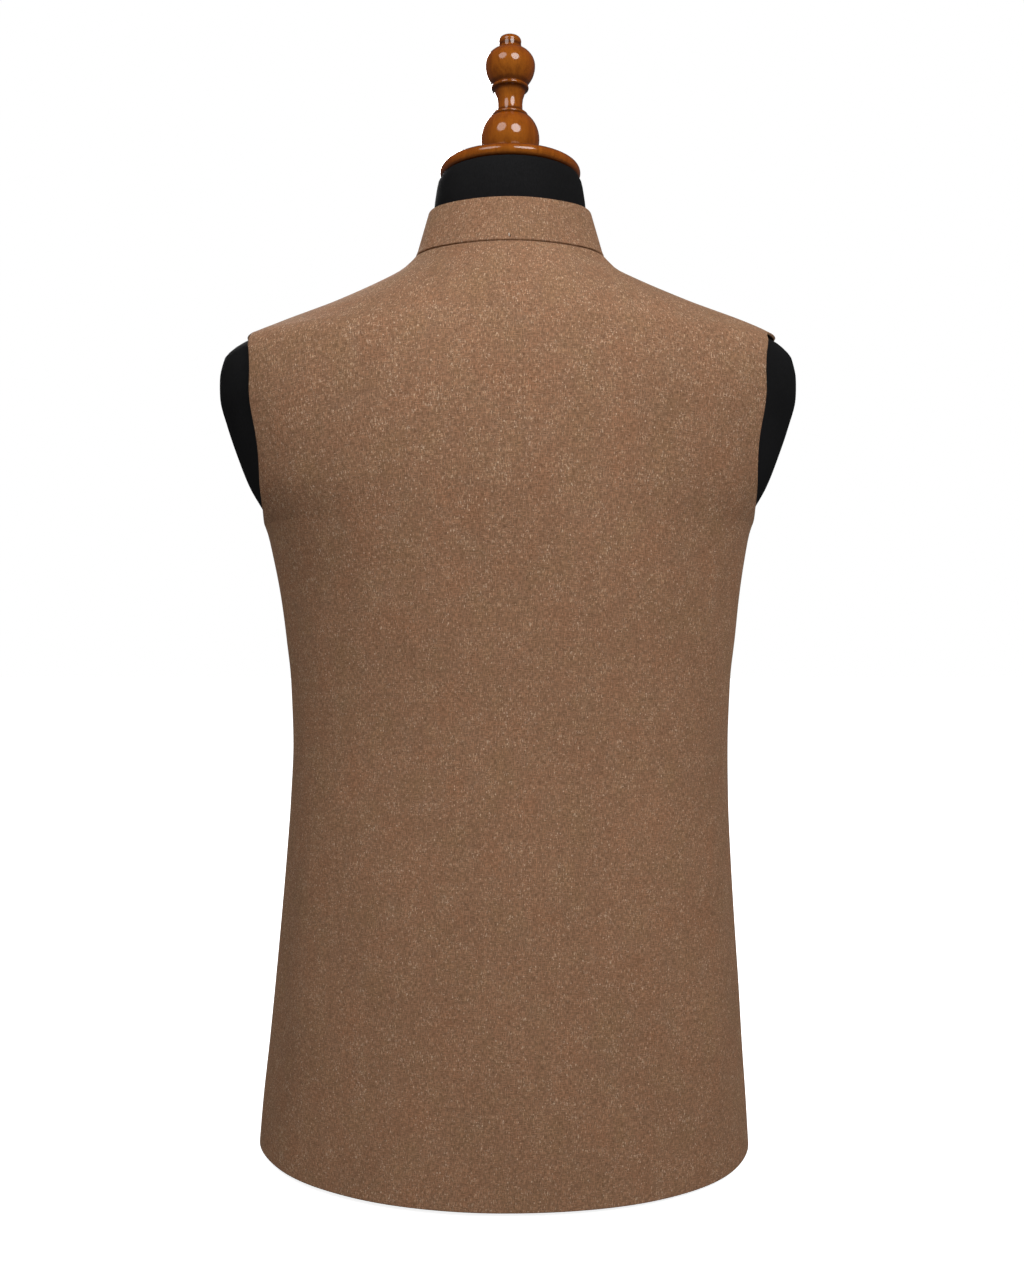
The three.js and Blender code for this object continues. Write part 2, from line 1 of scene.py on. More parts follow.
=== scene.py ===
# %% [markdown]
# # A waistcoat on a dress form
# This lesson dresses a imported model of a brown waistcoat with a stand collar. The waistcoat is
# buttoned round a black dress form that ends in a turned wooden finial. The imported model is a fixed
# frame: it holds every piece at its real size and place. We keep those sizes and build finer meshes
# on them, because a plain solid has no rolled edges, no sunken seams and no woven surface.

# %% Load the fixed frame
import math

import bmesh
import bpy
import numpy as np
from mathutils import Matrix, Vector


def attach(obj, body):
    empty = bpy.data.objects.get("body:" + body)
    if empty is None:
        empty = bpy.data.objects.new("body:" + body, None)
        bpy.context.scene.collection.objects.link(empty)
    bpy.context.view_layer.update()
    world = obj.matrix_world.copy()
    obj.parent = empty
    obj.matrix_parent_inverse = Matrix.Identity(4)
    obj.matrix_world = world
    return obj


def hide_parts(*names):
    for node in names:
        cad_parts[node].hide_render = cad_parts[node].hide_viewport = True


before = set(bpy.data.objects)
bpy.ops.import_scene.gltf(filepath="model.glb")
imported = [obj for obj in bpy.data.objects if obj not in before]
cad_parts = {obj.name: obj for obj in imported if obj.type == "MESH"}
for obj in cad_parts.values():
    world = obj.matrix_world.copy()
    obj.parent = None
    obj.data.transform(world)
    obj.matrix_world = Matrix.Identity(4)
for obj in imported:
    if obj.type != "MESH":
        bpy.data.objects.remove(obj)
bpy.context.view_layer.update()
MM = 0.001  # the sizes below are in millimetres, and Blender's are in metres
print("nodes in the frame:", ", ".join(sorted(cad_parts)))


# %% [markdown]
# ## Curves through short tables
# A tailor describes a body by a few measures at a few heights. Between those heights the cloth runs
# smoothly. A straight line would leave a kink at every row, and a free spline can bulge past its
# rows. We use a cubic whose slope is held back wherever the column turns, so it stays smooth and
# never overshoots.

# %% A smooth curve through one column
def curve_through(heights, values):
    """A smooth curve through one column of a table, as a function of height."""
    heights, values = np.array(heights, float), np.array(values, float)
    step = np.diff(values) / np.diff(heights)
    before, after = step[:-1], step[1:]
    turning = before * after <= 0
    total = np.where(turning, 1.0, before + after)
    inner = np.where(turning, 0.0, 2 * before * after / total)
    slope = np.concatenate([step[:1], inner, step[-1:]])

    def at(z):
        z = np.clip(z, heights[0], heights[-1])
        i = np.clip(np.searchsorted(heights, z, side="right") - 1, 0, len(step) - 1)
        span = heights[i + 1] - heights[i]
        s = (z - heights[i]) / span
        start = (2 * s**3 - 3 * s**2 + 1) * values[i] + (s**3 - 2 * s**2 + s) * span * slope[i]
        end = (3 * s**2 - 2 * s**3) * values[i + 1] + (s**3 - s**2) * span * slope[i + 1]
        return start + end

    return at


def curves_of(columns, rows):
    """One curve for every column of a table but its first, which holds the heights."""
    table = np.array(rows, float)
    return {name: curve_through(table[:, 0], table[:, i]) for i, name in enumerate(columns) if i}


def mix(a, b, share):
    return a + (b - a) * share


def ease(value, low, high):
    """0 up to low, 1 from high on, and smooth between them."""
    s = np.clip((value - low) / (high - low), 0, 1)
    return s * s * (3 - 2 * s)


print("a quarter of the way from 2 to 6 is", mix(2, 6, 0.25))


# %% [markdown]
# ## The body that the cloth follows
# Each row is one level of the cloth's outer face, in millimetres: its half width, how far the back
# and the front stand out, where the widest place lies, how far the cloth hangs to the wearer's
# left, and the room between the cloth and the form. The wearer faces -Y. Angles run round the body:
# 0 is the wearer's left side, 90 degrees is the centre back. A section is a rounded rectangle
# rather than an ellipse, because a chest is flatter than that. The last table draws a section in
# behind the shoulders, which slope away beside the neck.

# %% Measure the cloth
SECTION_COLUMNS = ("z", "half_width", "back", "front", "mid_y", "sway_x", "to_form")
SECTIONS = (
    (0, 193.6, 141, 120, 0, 5.2, 12),
    (38, 191, 140, 119.5, 0, 4.6, 12),
    (84, 187, 138.5, 119, 0, 3.6, 13),
    (131, 183.4, 136, 118, 0, 2.6, 14),
    (178, 179.7, 133.5, 117, 0, 2, 14),
    (226, 176.2, 131, 115.5, 0, 1.4, 14),
    (272, 173.4, 128.5, 114, 0, 0.8, 13),
    (320, 172, 127, 113, 0, 0, 12),
    (367, 173.6, 127.6, 114.5, 0, 0, 10),
    (398, 177.1, 128.6, 116.5, 0, 0, 8),
    (430, 181, 130, 118.5, 0, 0.4, 6.2),
    (461, 186.2, 131.6, 119.6, 0, 1, 5.2),
    (485, 191.4, 132.8, 119.4, 0, 1.4, 4.6),
    (495, 196.4, 133.2, 119, 0, 1.5, 4.6),
    (517, 208.4, 134, 116.5, 0, 1.6, 4.2),
    (541, 217.6, 134, 111, 0, 1.6, 3.8),
    (565, 225.6, 133, 102, 0, 1.6, 3.6),
    (588, 231.8, 131, 90, 0, 1.6, 3.8),
    (604, 232.6, 128.4, 79, 0, 1.6, 4.3),
    (620, 230, 125, 65.5, 0, 1.4, 4.9),
    (630, 221.5, 122, 59, 0.5, 0.6, 4.5),
    (638, 209, 119, 54, 1, -1.2, 4.1),
    (645, 194, 115.6, 49.5, 1.5, -2.2, 4.2),
    (661, 150.6, 107, 38, 4, -1.8, 4.2),
    (677, 109, 97, 25.5, 8, -0.6, 3.6),
    (686, 88.5, 90.5, 17.5, 11, 0.2, 3.2),
    (693, 79, 84.5, 11.5, 13, 0, 3.8),
    (697, 74.4, 80.6, 8, 14, 0, 3.8),
    (703, 60, 68, 14, 10, 0, 3),
    (712, 40, 45, 35, 5, 0, 0),
)
FULLNESS_COLUMNS = ("z", "back_left", "back_right", "front")
FULLNESS = (
    (0, 1.97, 2.2, 2.3),
    (440, 1.97, 2.2, 2.3),
    (485, 2.05, 2.2, 2.3),
    (517, 2.1, 2.15, 2.3),
    (565, 2.1, 2.1, 2.38),
    (604, 2.1, 2.1, 2.25),
    (638, 2.1, 2.1, 2),
    (661, 2, 2, 2),
)
SLOPE_COLUMNS = ("z", "drawn_in")
SHOULDER_SLOPE = (
    (565, 0),
    (604, 0.02),
    (620, 0.05),
    (630, 0.14),
    (638, 0.3),
    (645, 0.37),
    (661, 0.4),
    (677, 0.37),
    (686, 0.3),
    (693, 0.16),
    (697, 0.08),
    (712, 0),
)
section = curves_of(SECTION_COLUMNS, SECTIONS)
fullness = curves_of(FULLNESS_COLUMNS, FULLNESS)
drawn_in = curves_of(SLOPE_COLUMNS, SHOULDER_SLOPE)["drawn_in"]


print(len(SECTIONS), "levels measured, up to", SECTIONS[-1][0], "mm")


# %% Find a place on the body
def body_point(angle, z):
    """The place on the cloth's outer face at an angle and a height."""
    c, s = np.cos(angle), np.sin(angle)
    back_power = np.where(c > 0, fullness["back_left"](z), fullness["back_right"](z))
    power = np.where(s > 0, back_power, fullness["front"](z))
    stretch = (np.abs(c) ** power + np.abs(s) ** power) ** (-1 / power)
    mid_y = section["mid_y"](z)
    back_depth = (section["back"](z) - mid_y) * (1 - drawn_in(z) * c * c)
    depth = np.where(s > 0, back_depth, section["front"](z) + mid_y)
    x = section["sway_x"](z) + section["half_width"](z) * c * stretch
    y = mid_y + depth * s * stretch
    return np.stack(np.broadcast_arrays(x, y, z), axis=-1)

def lengths(vectors):
    return np.linalg.norm(vectors, axis=-1)


def unit(vectors):
    return vectors / np.linalg.norm(vectors, axis=-1, keepdims=True)


NUDGE_TURN, NUDGE_RISE = 0.002, 0.4  # small steps on the body, in radians and in millimetres


def normal_of(surface, angle, z):
    around = surface(angle + NUDGE_TURN, z) - surface(angle - NUDGE_TURN, z)
    up = surface(angle, z + NUDGE_RISE) - surface(angle, z - NUDGE_RISE)
    return unit(np.cross(around, up))


WAIST_Z = 320.0
waist = body_point(np.linspace(0, 2 * np.pi, 720), WAIST_Z)
waist_girth = lengths(np.diff(waist, axis=0)).sum()
print(f"waist girth over the cloth: {waist_girth:.0f} mm")


# %% [markdown]
# ## Soft folds
# The cloth hangs smoothly on the back, but no worn cloth is a perfect tube. Long troughs fall below
# each armhole and widen towards the hem, short slack folds lie at the waist, and the fronts pull a
# little from the buttons. They could be simulated. Here every one is listed instead, since
# each has to lie where the photograph shows it, and the hidden sides get folds of the same kind. A
# row gives a fold's place in degrees round the body, how it drifts, where it starts and ends, its
# width and its depth. A negative depth is a ridge.

# %% List the folds
FOLD_COLUMNS = ("angle", "drift", "from_z", "to_z", "width", "depth")
FOLDS = (
    (24, -6, -60, 330, 9, 2.2),
    (156, 5, -60, 300, 10, 1.8),
    (18, 20, 350, 500, 9, 1.6),
    (163, -20, 340, 496, 9, 1.6),
    (-42, -5, -60, 320, 10, 2.0),
    (222, 6, -60, 340, 10, 2.0),
    (-22, -18, 350, 495, 9, 1.5),
    (203, 18, 345, 500, 9, 1.5),
)
CREASES = (
    (52, -5, -80, 420, 7, 0.8),
    (128, 8, -80, 380, 8, 0.7),
    (74, 4, -60, 250, 9, 0.45),
    (108, -3, -70, 300, 8, 0.4),
    (38, 16, 380, 560, 7, 0.7),
    (143, -17, 370, 545, 6, 0.6),
    (33, -4, 40, 360, 5, -0.7),
    (147, 3, 20, 330, 6, -0.6),
    (8, 9, 300, 470, 5, -0.6),
    (172, -8, 300, 466, 5, -0.6),
    (-58, 6, -60, 260, 7, 0.9),
    (238, -5, -50, 290, 7, 0.8),
    (-33, 4, -40, 250, 5, -0.7),
    (213, -5, -30, 270, 5, -0.6),
    (-72, 7, 300, 430, 6, 0.5),
    (250, -9, 290, 410, 6, 0.5),
    (-60, 24, 470, 610, 8, 0.9),
    (240, -24, 465, 612, 8, 0.9),
    (-40, 12, 400, 520, 6, 0.6),
    (219, -11, 395, 515, 6, 0.6),
)

FOLD_FADE = 1.5  # how gently a fold starts and ends


def fold_depth(angle, z):
    degrees = np.degrees(angle)
    depth = np.zeros(np.broadcast(angle, z).shape)
    for row in FOLDS + CREASES:
        fold = dict(zip(FOLD_COLUMNS, row))
        along = np.clip((z - fold["from_z"]) / (fold["to_z"] - fold["from_z"]), 0, 1)
        across = (degrees - fold["angle"] - fold["drift"] * along) / fold["width"]
        depth = depth + fold["depth"] * np.sin(np.pi * along) ** FOLD_FADE * np.exp(-(across**2))
    return depth


def cloth_point(angle, z):
    return body_point(angle, z) - normal_of(body_point, angle, z) * fold_depth(angle, z)[..., None]


print(f"{len(FOLDS)} folds and {len(CREASES)} finer creases placed")


# %% [markdown]
# ## The edges that a cutter marks
# A back and two fronts meet at the side seams and the shoulder seams. Between those seams runs the
# armhole. We describe each edge as a curve of angle and height on the body, so that neighbouring
# pieces share one line and only a seam's hair of room parts them.

# %% Name the edges
SEAM = 0.3  # the room between two pieces that are sewn together
HEM_Z = 4.0
SIDE_SEAM = -0.04
SHOULDER_SEAM = -0.06
CENTRE_FRONT = -np.pi / 2
ARMHOLE = {"bottom_z": 488.0, "top_z": 637.5, "back_share": 0.592, "front_share": 0.62}
SQUARE_BELOW, SQUARE_ABOVE = 3.3, 3.15  # how square the armhole is: 2 is an oval
ARMHOLE_TAPER = 0.2
NECKLINE = {
    "nape_z": 691.5, "side_z": 697.0, "front_z": 622.0,
    "oval_half_width": 74.4, "oval_power": 1.8,
}
OVERLAP = 17.0  # how far a front is cut past the centre line
HALVINGS = 40


def between(low, high, is_low):
    """The value at which is_low stops being true, found by halving."""
    for _ in range(HALVINGS):
        middle = (low + high) / 2
        below = is_low(middle)
        low, high = np.where(below, middle, low), np.where(below, high, middle)
    return (low + high) / 2


print("neckline width:", 2 * NECKLINE["oval_half_width"], "mm")


# %% [markdown]
# ## The armhole
# An armhole is rounder than a rectangle and squarer than an oval. A superellipse covers that whole
# range with one number. We draw it in the side view, and look up the angle at which the body has
# that depth by halving, since the section has no simple inverse. The edge is a little wider above
# than below.

# %% Draw the armhole
def angle_at_depth(y, z):
    """The angle on the wearer's left side at which the body reaches y."""
    low, high = np.full(np.shape(z), -np.pi / 2), np.full(np.shape(z), np.pi / 2)
    return between(low, high, lambda angle: body_point(angle, z)[..., 1] < y)


def armhole_edge(turn, towards_back):
    """Half of the armhole, from its bottom at a turn of -90 degrees to its top at 90."""
    power = 2 / np.where(turn > 0, SQUARE_ABOVE, SQUARE_BELOW)
    half = (ARMHOLE["top_z"] - ARMHOLE["bottom_z"]) / 2
    rise = np.sign(np.sin(turn)) * np.abs(np.sin(turn)) ** power
    z = ARMHOLE["bottom_z"] + half + half * rise
    bottom_y = body_point(SIDE_SEAM, ARMHOLE["bottom_z"])[1]
    top_y = body_point(SHOULDER_SEAM, ARMHOLE["top_z"])[1]
    if towards_back:
        reach = ARMHOLE["back_share"] * section["back"](z)
    else:
        reach = -ARMHOLE["front_share"] * section["front"](z)
    bulge = np.abs(np.cos(turn)) ** power * (1 + ARMHOLE_TAPER * np.sin(turn))
    return angle_at_depth(mix(bottom_y, top_y, (rise + 1) / 2) + reach * bulge, z), z


print("armhole depth:", ARMHOLE["top_z"] - ARMHOLE["bottom_z"], "mm")


# %% [markdown]
# ## The neckline and the front edge
# The neckline is nearly level round the nape and falls in an oval to the base of the throat. The
# front edges run straight down at a set distance past the centre line. At a seam each piece stops
# short by half the seam's room.

# %% Draw the neckline
def from_centre(point):
    return point[..., 0] - section["sway_x"](point[..., 2])


def front_angle(across, z):
    """The angle of a place that lies this far from the centre front."""
    return CENTRE_FRONT + np.arcsin(across / section["half_width"](z))


def neckline_z(angle):
    n = NECKLINE
    s = np.sin(angle)
    at_back = mix(n["side_z"], n["nape_z"], s * s)

    def below_oval(z):
        across = np.minimum(1, np.abs(from_centre(body_point(angle, z))) / n["oval_half_width"])
        sunk = (1 - across ** n["oval_power"]) ** (1 / n["oval_power"])
        return z < n["side_z"] - (n["side_z"] - n["front_z"]) * sunk

    low, high = np.full(np.shape(angle), n["front_z"]), np.full(np.shape(angle), n["side_z"])
    return np.where(s > 0, at_back, between(low, high, below_oval))


SEAM_TURN = 0.01  # radians on each side of a seam, to measure how long an angle is there


def half_seam(angle, z):
    """Half of a seam's room, as an angle."""
    ends = body_point(angle + SEAM_TURN, z), body_point(angle - SEAM_TURN, z)
    return SEAM * SEAM_TURN / lengths(ends[0] - ends[1])


print(f"neckline at the nape: {float(neckline_z(np.array(np.pi / 2))):.1f} mm high")


# %% [markdown]
# ## Even steps along an edge
# An edge is given as a curve of angle and height, and equal steps in either don't make equal steps
# on the body. We measure the curve with many short chords, and look places up by length. The
# armhole and the shoulder seam together form one long outer edge.

# %% Measure an edge
EDGE_STEPS = np.array([0, 0.1, 0.3, 0.6, 1.0, 1.7, 2.8, 4.4, 6.5])  # from an edge to the rows beside it
EDGE_ZONE = EDGE_STEPS[-1]
FINE = 600  # chords along an edge


def running_length(points):
    """How far each place is from the first one, along all the places between."""
    return np.concatenate([[0], np.cumsum(lengths(np.diff(points, axis=0)))])


def evenly(curve):
    """The same curve of (angle, z), with its places a constant distance apart."""
    t = np.linspace(0, 1, FINE + 1)
    angle, z = curve(t)
    z = z + np.zeros_like(angle)
    length = running_length(body_point(angle, z))
    share = length / length[-1]
    return (lambda v: (np.interp(v, share, angle), np.interp(v, share, z))), length[-1]


def outer_edge(towards_back):
    """The armhole and the shoulder seam as one curve, and the share of it that is armhole."""
    side = 1 if towards_back else -1

    def armhole(t):
        angle, z = armhole_edge(mix(-np.pi / 2, np.pi / 2, t), towards_back)
        return angle + side * half_seam(angle, z), z

    def shoulder(t):
        z = mix(ARMHOLE["top_z"], NECKLINE["side_z"], t)
        return SHOULDER_SEAM + side * half_seam(np.full_like(z, SHOULDER_SEAM), z), z

    (first, first_length), (second, second_length) = evenly(armhole), evenly(shoulder)
    corner = first_length / (first_length + second_length)

    def edge(v):
        below, above = np.clip(v / corner, 0, 1), np.clip((v - corner) / (1 - corner), 0, 1)
        return tuple(np.where(v < corner, p, q) for p, q in zip(first(below), second(above)))

    return edge, corner


def side_line(towards_back):
    """The side seam's angle at each height, on this side of the seam's room."""
    side = 1 if towards_back else -1
    return lambda z: SIDE_SEAM + side * half_seam(np.full(np.shape(z), SIDE_SEAM), z)


def neckline_between(start, end):
    """The angle at even steps along the neckline, between two angles."""
    curve, _ = evenly(lambda t: (mix(start, end, t), neckline_z(mix(start, end, t))))
    return lambda u: curve(u)[0]


print(f"armhole share of the back's outer edge: {outer_edge(True)[1]:.2f}")


# %% [markdown]
# ## Rows and columns of a panel
# A flat grid bent onto the body would waste faces on the smooth middle and have too few at the
# edges, where the cloth turns over. So the grid is spaced as given: tight steps in the last few
# millimetres, and even ones between.

# %% Space the rows and columns
BODY_ROWS, ARMHOLE_ROWS, SHOULDER_ROWS = 78, 34, 20


def spaced(length, count):
    """Distances from 0 to length: tight at both ends and even between, one row for each length."""
    length = np.asarray(length, float)[..., None]
    middle = EDGE_ZONE + np.linspace(0, 1, count)[1:-1] * (length - 2 * EDGE_ZONE)
    ones = np.ones_like(length)
    return np.concatenate([EDGE_STEPS * ones, middle, length - EDGE_STEPS[::-1] * ones], axis=-1)


def rows_of(corner):
    """Heights below the armhole, and shares of the upper edge above it."""
    low = HEM_Z + EDGE_STEPS
    low = np.concatenate([low, np.linspace(low[-1], ARMHOLE["bottom_z"], BODY_ROWS + 1)[1:]])
    armhole = np.linspace(0, corner, ARMHOLE_ROWS + 1)[1:]
    return low, np.concatenate([armhole, np.linspace(corner, 1, SHOULDER_ROWS + 1)[1:]])


print("columns across a panel 100 mm wide:", spaced(100, 20).size)


# %% [markdown]
# ## A panel's places
# Below the armhole a row is simply level. Above it, the panel has four edges of different shapes,
# and a blend of those edges lets the rows bend from the shoulder to the neckline. A bent plane or a
# lattice could do it too, but then the edges would only be near their seams, and here they lie on
# them.

# %% Fill a panel between its edges
PROBES = 49  # places across a panel at which it is measured
FAR_AWAY = 1000.0  # the lower rows lie too far from the neckline for its seam to reach them
TOP = np.ones(1)  # the upper end of an edge, as a share of it


def chords(points, axis):
    """Lengths across a grid of places along its rows, axis 1, or up its columns, axis 0."""
    return lengths(np.diff(points, axis=axis)).sum(axis=axis)


class Panel:
    """The places of one panel: angle and z, and how far each place is from every edge."""

    def __init__(self, near, far, neck, corner, columns):
        """near and far are pairs: the line below the armhole, and the edge from there up."""
        self.near, self.far, self.neck = near, far, neck
        low_z, up_v = rows_of(corner)
        self.low_rows = len(low_z)
        probe = np.linspace(0, 1, PROBES)
        straight = body_point(*self.map(low_z, up_v, probe[None, :]))
        widths, heights = chords(straight, 1), chords(straight[self.low_rows - 1:], 0)

        u = spaced(widths, columns) / widths[:, None]
        u[:, 0], u[:, -1] = 0, 1
        tall = np.interp(u[self.low_rows:], probe, heights)
        squeeze = (1 - EDGE_ZONE / tall - corner) / (1 - corner)
        up_v = up_v[:, None]
        v = np.where(up_v <= corner, up_v, corner + (up_v - corner) * squeeze)
        v = np.concatenate([v, (1 - EDGE_STEPS[::-1] / tall[-1][:, None]).T[1:]])
        top_rows = len(EDGE_STEPS) - 1
        self.u = np.concatenate([u, np.repeat(u[-1:], top_rows, axis=0)])
        self.angle, self.z = self.map(low_z, v, self.u)

        width = np.concatenate([widths, np.repeat(widths[-1:], top_rows)])[:, None]
        self.from_near, self.from_far = self.u * width, (1 - self.u) * width
        self.from_hem = np.maximum(self.z - HEM_Z, 0)
        from_neck = (1 - v) * np.interp(self.u[self.low_rows:], probe, heights)
        self.from_neck = np.concatenate([np.full((self.low_rows, u.shape[1]), FAR_AWAY), from_neck])

    def map(self, low_z, up_v, u):
        """Angle and z at the shares u across the level rows and the rows above them."""
        (near_low, near_up), (far_low, far_up) = self.near, self.far
        below = mix(near_low(low_z)[:, None], far_low(low_z)[:, None], u[: len(low_z)])
        below_z = low_z[:, None] + 0 * below
        v = up_v[:, None] if up_v.ndim == 1 else up_v
        u_up = u if u.shape[0] == 1 else u[len(low_z):]
        near, far = near_up(v), far_up(v)
        near_top, far_top = near_up(TOP), far_up(TOP)
        top_angle = self.neck(u_up)
        top = (top_angle, neckline_z(top_angle))
        upper = [
            mix(near[k], far[k], u_up) + v * (top[k] - mix(near_top[k], far_top[k], u_up))
            for k in range(2)
        ]
        return np.concatenate([below, upper[0]]), np.concatenate([below_z, upper[1]])


def mirrored(edge):
    """The same edge on the wearer's right."""
    def other_side(v):
        angle, z = edge(v)
        return np.pi - angle, z

    return other_side


print("rows of a panel:", BODY_ROWS + ARMHOLE_ROWS + SHOULDER_ROWS, "and the tight ones at its edges")


# %% [markdown]
# ## Cloth with two faces
# A waistcoat's wall is face cloth, interlining and lining pressed together, about two millimetres
# in all. At a free edge those layers are turned in, so the edge is round. At a seam the two pieces
# dip into a narrow valley. A Solidify modifier could thicken a surface, but it can't tell a turned
# edge from a seam. We move both faces along the surface normal ourselves, by a rule for each kind
# of edge.

# %% Turn the edges
CLOTH = 2.0
TURNED = 0.85  # how far round a turned edge goes: 1 would close it to a knife edge
SEAM_DIP, SEAM_REACH = 0.75, 1.5  # how deep a seam's valley is, and how far from the edge it starts


def turned_in(distance, thickness):
    radius = thickness / 2
    inside = np.clip(1 - distance / radius, 0, 1)
    return TURNED * radius * (1 - np.sqrt(1 - inside**2))


def seam_dip(distance):
    return SEAM_DIP * np.exp(-((distance / SEAM_REACH) ** 2))


print("cloth thickness:", CLOTH, "mm")


# %% [markdown]
# ## From places to meshes
# A shell has an outer grid, an inner grid and a border that joins them, so it is closed like real
# cloth. A tube is a stack of rings with its ends closed. These two kinds make every piece of cloth,
# jersey, wood and thread.

# %% Make meshes
def put_in_scene(name, data):
    """An object for a mesh, a lamp or a camera."""
    thing = bpy.data.objects.new(name, data)
    bpy.context.scene.collection.objects.link(thing)
    return thing


def make_piece(name, points_mm, faces, smooth_below=50):
    """A smoothly shaded mesh. Edges sharper than smooth_below, in degrees, stay crisp."""
    mesh = bpy.data.meshes.new(name)
    places = np.asarray(points_mm, float).reshape(-1, 3) * MM
    mesh.from_pydata(places.tolist(), [], [[int(corner) for corner in face] for face in faces])
    mesh.shade_smooth()
    mesh.set_sharp_from_angle(angle=math.radians(smooth_below))
    return put_in_scene(name, mesh)


def face_outwards(piece):
    """Turns a closed mesh whose faces look inwards, which shows as a volume below zero."""
    mesh = bmesh.new()
    mesh.from_mesh(piece.data)
    volume = mesh.calc_volume(signed=True)
    mesh.free()
    if volume < 0:
        piece.data.flip_normals()
    return piece


print("places are given in millimetres and kept in metres")


# %% Join the places of a shell and of a tube
def grid_quads(index):
    return np.stack([index[:-1, :-1], index[:-1, 1:], index[1:, 1:], index[1:, :-1]], -1).reshape(-1, 4)


def shell_faces(rows, across):
    """Quads of a closed shell: an outer grid, an inner grid and the four borders between them."""
    out, inn = np.arange(2 * rows * across).reshape(2, rows, across)
    borders = (
        (out[0, 1:], out[0, :-1], inn[0, :-1], inn[0, 1:]),
        (out[-1, :-1], out[-1, 1:], inn[-1, 1:], inn[-1, :-1]),
        (out[:-1, 0], out[1:, 0], inn[1:, 0], inn[:-1, 0]),
        (out[1:, -1], out[:-1, -1], inn[:-1, -1], inn[1:, -1]),
    )
    inner_quads = grid_quads(inn)[:, [0, 3, 2, 1]]  # the inner faces look the other way
    return np.concatenate([grid_quads(out), inner_quads, *(np.stack(border, -1) for border in borders)])


def closed_tube(rings, bottom, top):
    """Points and faces of a solid made of rings of points, with one more point that closes each end."""
    rings = np.asarray(rings, float)
    rows, sides = rings.shape[:2]
    index = np.arange(rows * sides).reshape(rows, sides)
    after = np.roll(index, -1, axis=1)
    faces = np.stack([index[:-1], after[:-1], after[1:], index[1:]], -1).reshape(-1, 4).tolist()
    faces += [[b, a, rows * sides] for a, b in zip(index[0], after[0])]
    faces += [[a, b, rows * sides + 1] for a, b in zip(index[-1], after[-1])]
    return np.concatenate([rings.reshape(-1, 3), [bottom, top]]), faces


print("a 2 by 2 shell has", len(shell_faces(2, 2)), "faces")


# %% [markdown]
# ## Laying a panel flat
# Threads run straight up and across a panel as it lay on the cutting table, and they bend with the
# cloth once it is sewn. So the weave has to be drawn in the flat pattern's own coordinates. Blender
# can flatten a surface as it unwraps one. We unwrap each panel, turn the result so that its centre
# line is upright, and scale it back to millimetres. The same flat shape also tells us how large a
# piece of cloth the cutter needs.

# %% Unwrap a grid
def face_corners(mesh):
    """The vertex at each corner of each face, in the order of a UV map."""
    vertex = np.empty(len(mesh.loops), np.int32)
    mesh.loops.foreach_get("vertex_index", vertex)
    return vertex


def unwrapped(grid):
    """The flat shape that Blender gives a grid, at a size of Blender's own."""
    rows, across = grid.shape[:2]
    index = np.arange(rows * across).reshape(rows, across)
    scratch = make_piece("flat_pattern", grid, grid_quads(index))
    mesh = scratch.data
    mesh.uv_layers.new(name="flat")
    bpy.context.view_layer.objects.active = scratch
    scratch.select_set(True)
    bpy.ops.object.mode_set(mode="EDIT")
    bpy.ops.mesh.select_all(action="SELECT")
    bpy.ops.uv.unwrap(method="CONFORMAL", margin=0)
    bpy.ops.object.mode_set(mode="OBJECT")
    corners = np.empty(len(mesh.loops) * 2, np.float32)
    mesh.uv_layers["flat"].data.foreach_get("uv", corners)
    flat = np.zeros((rows * across, 2))
    flat[face_corners(mesh)] = corners.reshape(-1, 2)
    bpy.data.objects.remove(scratch)
    bpy.data.meshes.remove(mesh)
    return flat.reshape(rows, across, 2)


print("a panel is unwrapped as one island")


# %% Turn the flat pattern upright and measure it
def lay_flat(grid, upright_column):
    """A grid laid flat, in millimetres, with one of its columns upright."""
    def all_steps(places):
        return chords(places, 1).sum() + chords(places, 0).sum()

    flat = unwrapped(grid)
    flat *= all_steps(grid) / all_steps(flat)
    up = flat[-1, upright_column] - flat[0, upright_column]
    up /= np.linalg.norm(up)
    flat = flat @ np.array([[up[1], up[0]], [-up[0], up[1]]])
    across, upright = flat[0, -1] - flat[0, 0], flat[-1, upright_column] - flat[0, upright_column]
    if np.cross(across, upright) < 0:
        flat[..., 0] *= -1
    return flat - flat[0, upright_column]


def flat_size(flat):
    """The flat panel's width, length and area in metres."""
    a, b, c, d = flat[:-1, :-1], flat[:-1, 1:], flat[1:, 1:], flat[1:, :-1]
    area = np.abs(np.cross(c - a, d - b)).sum() / 2
    width, length = flat.reshape(-1, 2).max(0) - flat.reshape(-1, 2).min(0)
    return width * MM, length * MM, area * MM * MM


square = np.stack(np.meshgrid([0, 100.0], [0, 100.0]), -1)
print("a 100 mm square laid flat measures", flat_size(square)[:2], "m")


# %% [markdown]
# ## Closing a piece of cloth
# Every piece of cloth ends in the same way: its outer and inner faces are closed into one shell,
# and the flat pattern's millimetres are kept on it as a UV map, so that the weave can be drawn by
# them later.

# %% Close a piece of cloth
def close_cloth(name, outer, inner, flat):
    """A closed piece of cloth, the width and length of its flat cut, and the cut's area."""
    piece = face_outwards(make_piece(name, np.stack([outer, inner]), shell_faces(*flat.shape[:2])))
    both_faces = np.concatenate([flat.reshape(-1, 2)] * 2).astype(np.float32)
    weave = piece.data.uv_layers.new(name="weave")
    weave.data.foreach_set("uv", both_faces[face_corners(piece.data)].ravel())
    width, length, area = flat_size(flat)
    print(f"{name}: {len(piece.data.polygons)} faces, flat {width:.3f} x {length:.3f} m, {area:.4f} m2")
    return piece, (width, length), area


print("the weave is kept in millimetres on each piece of cloth")


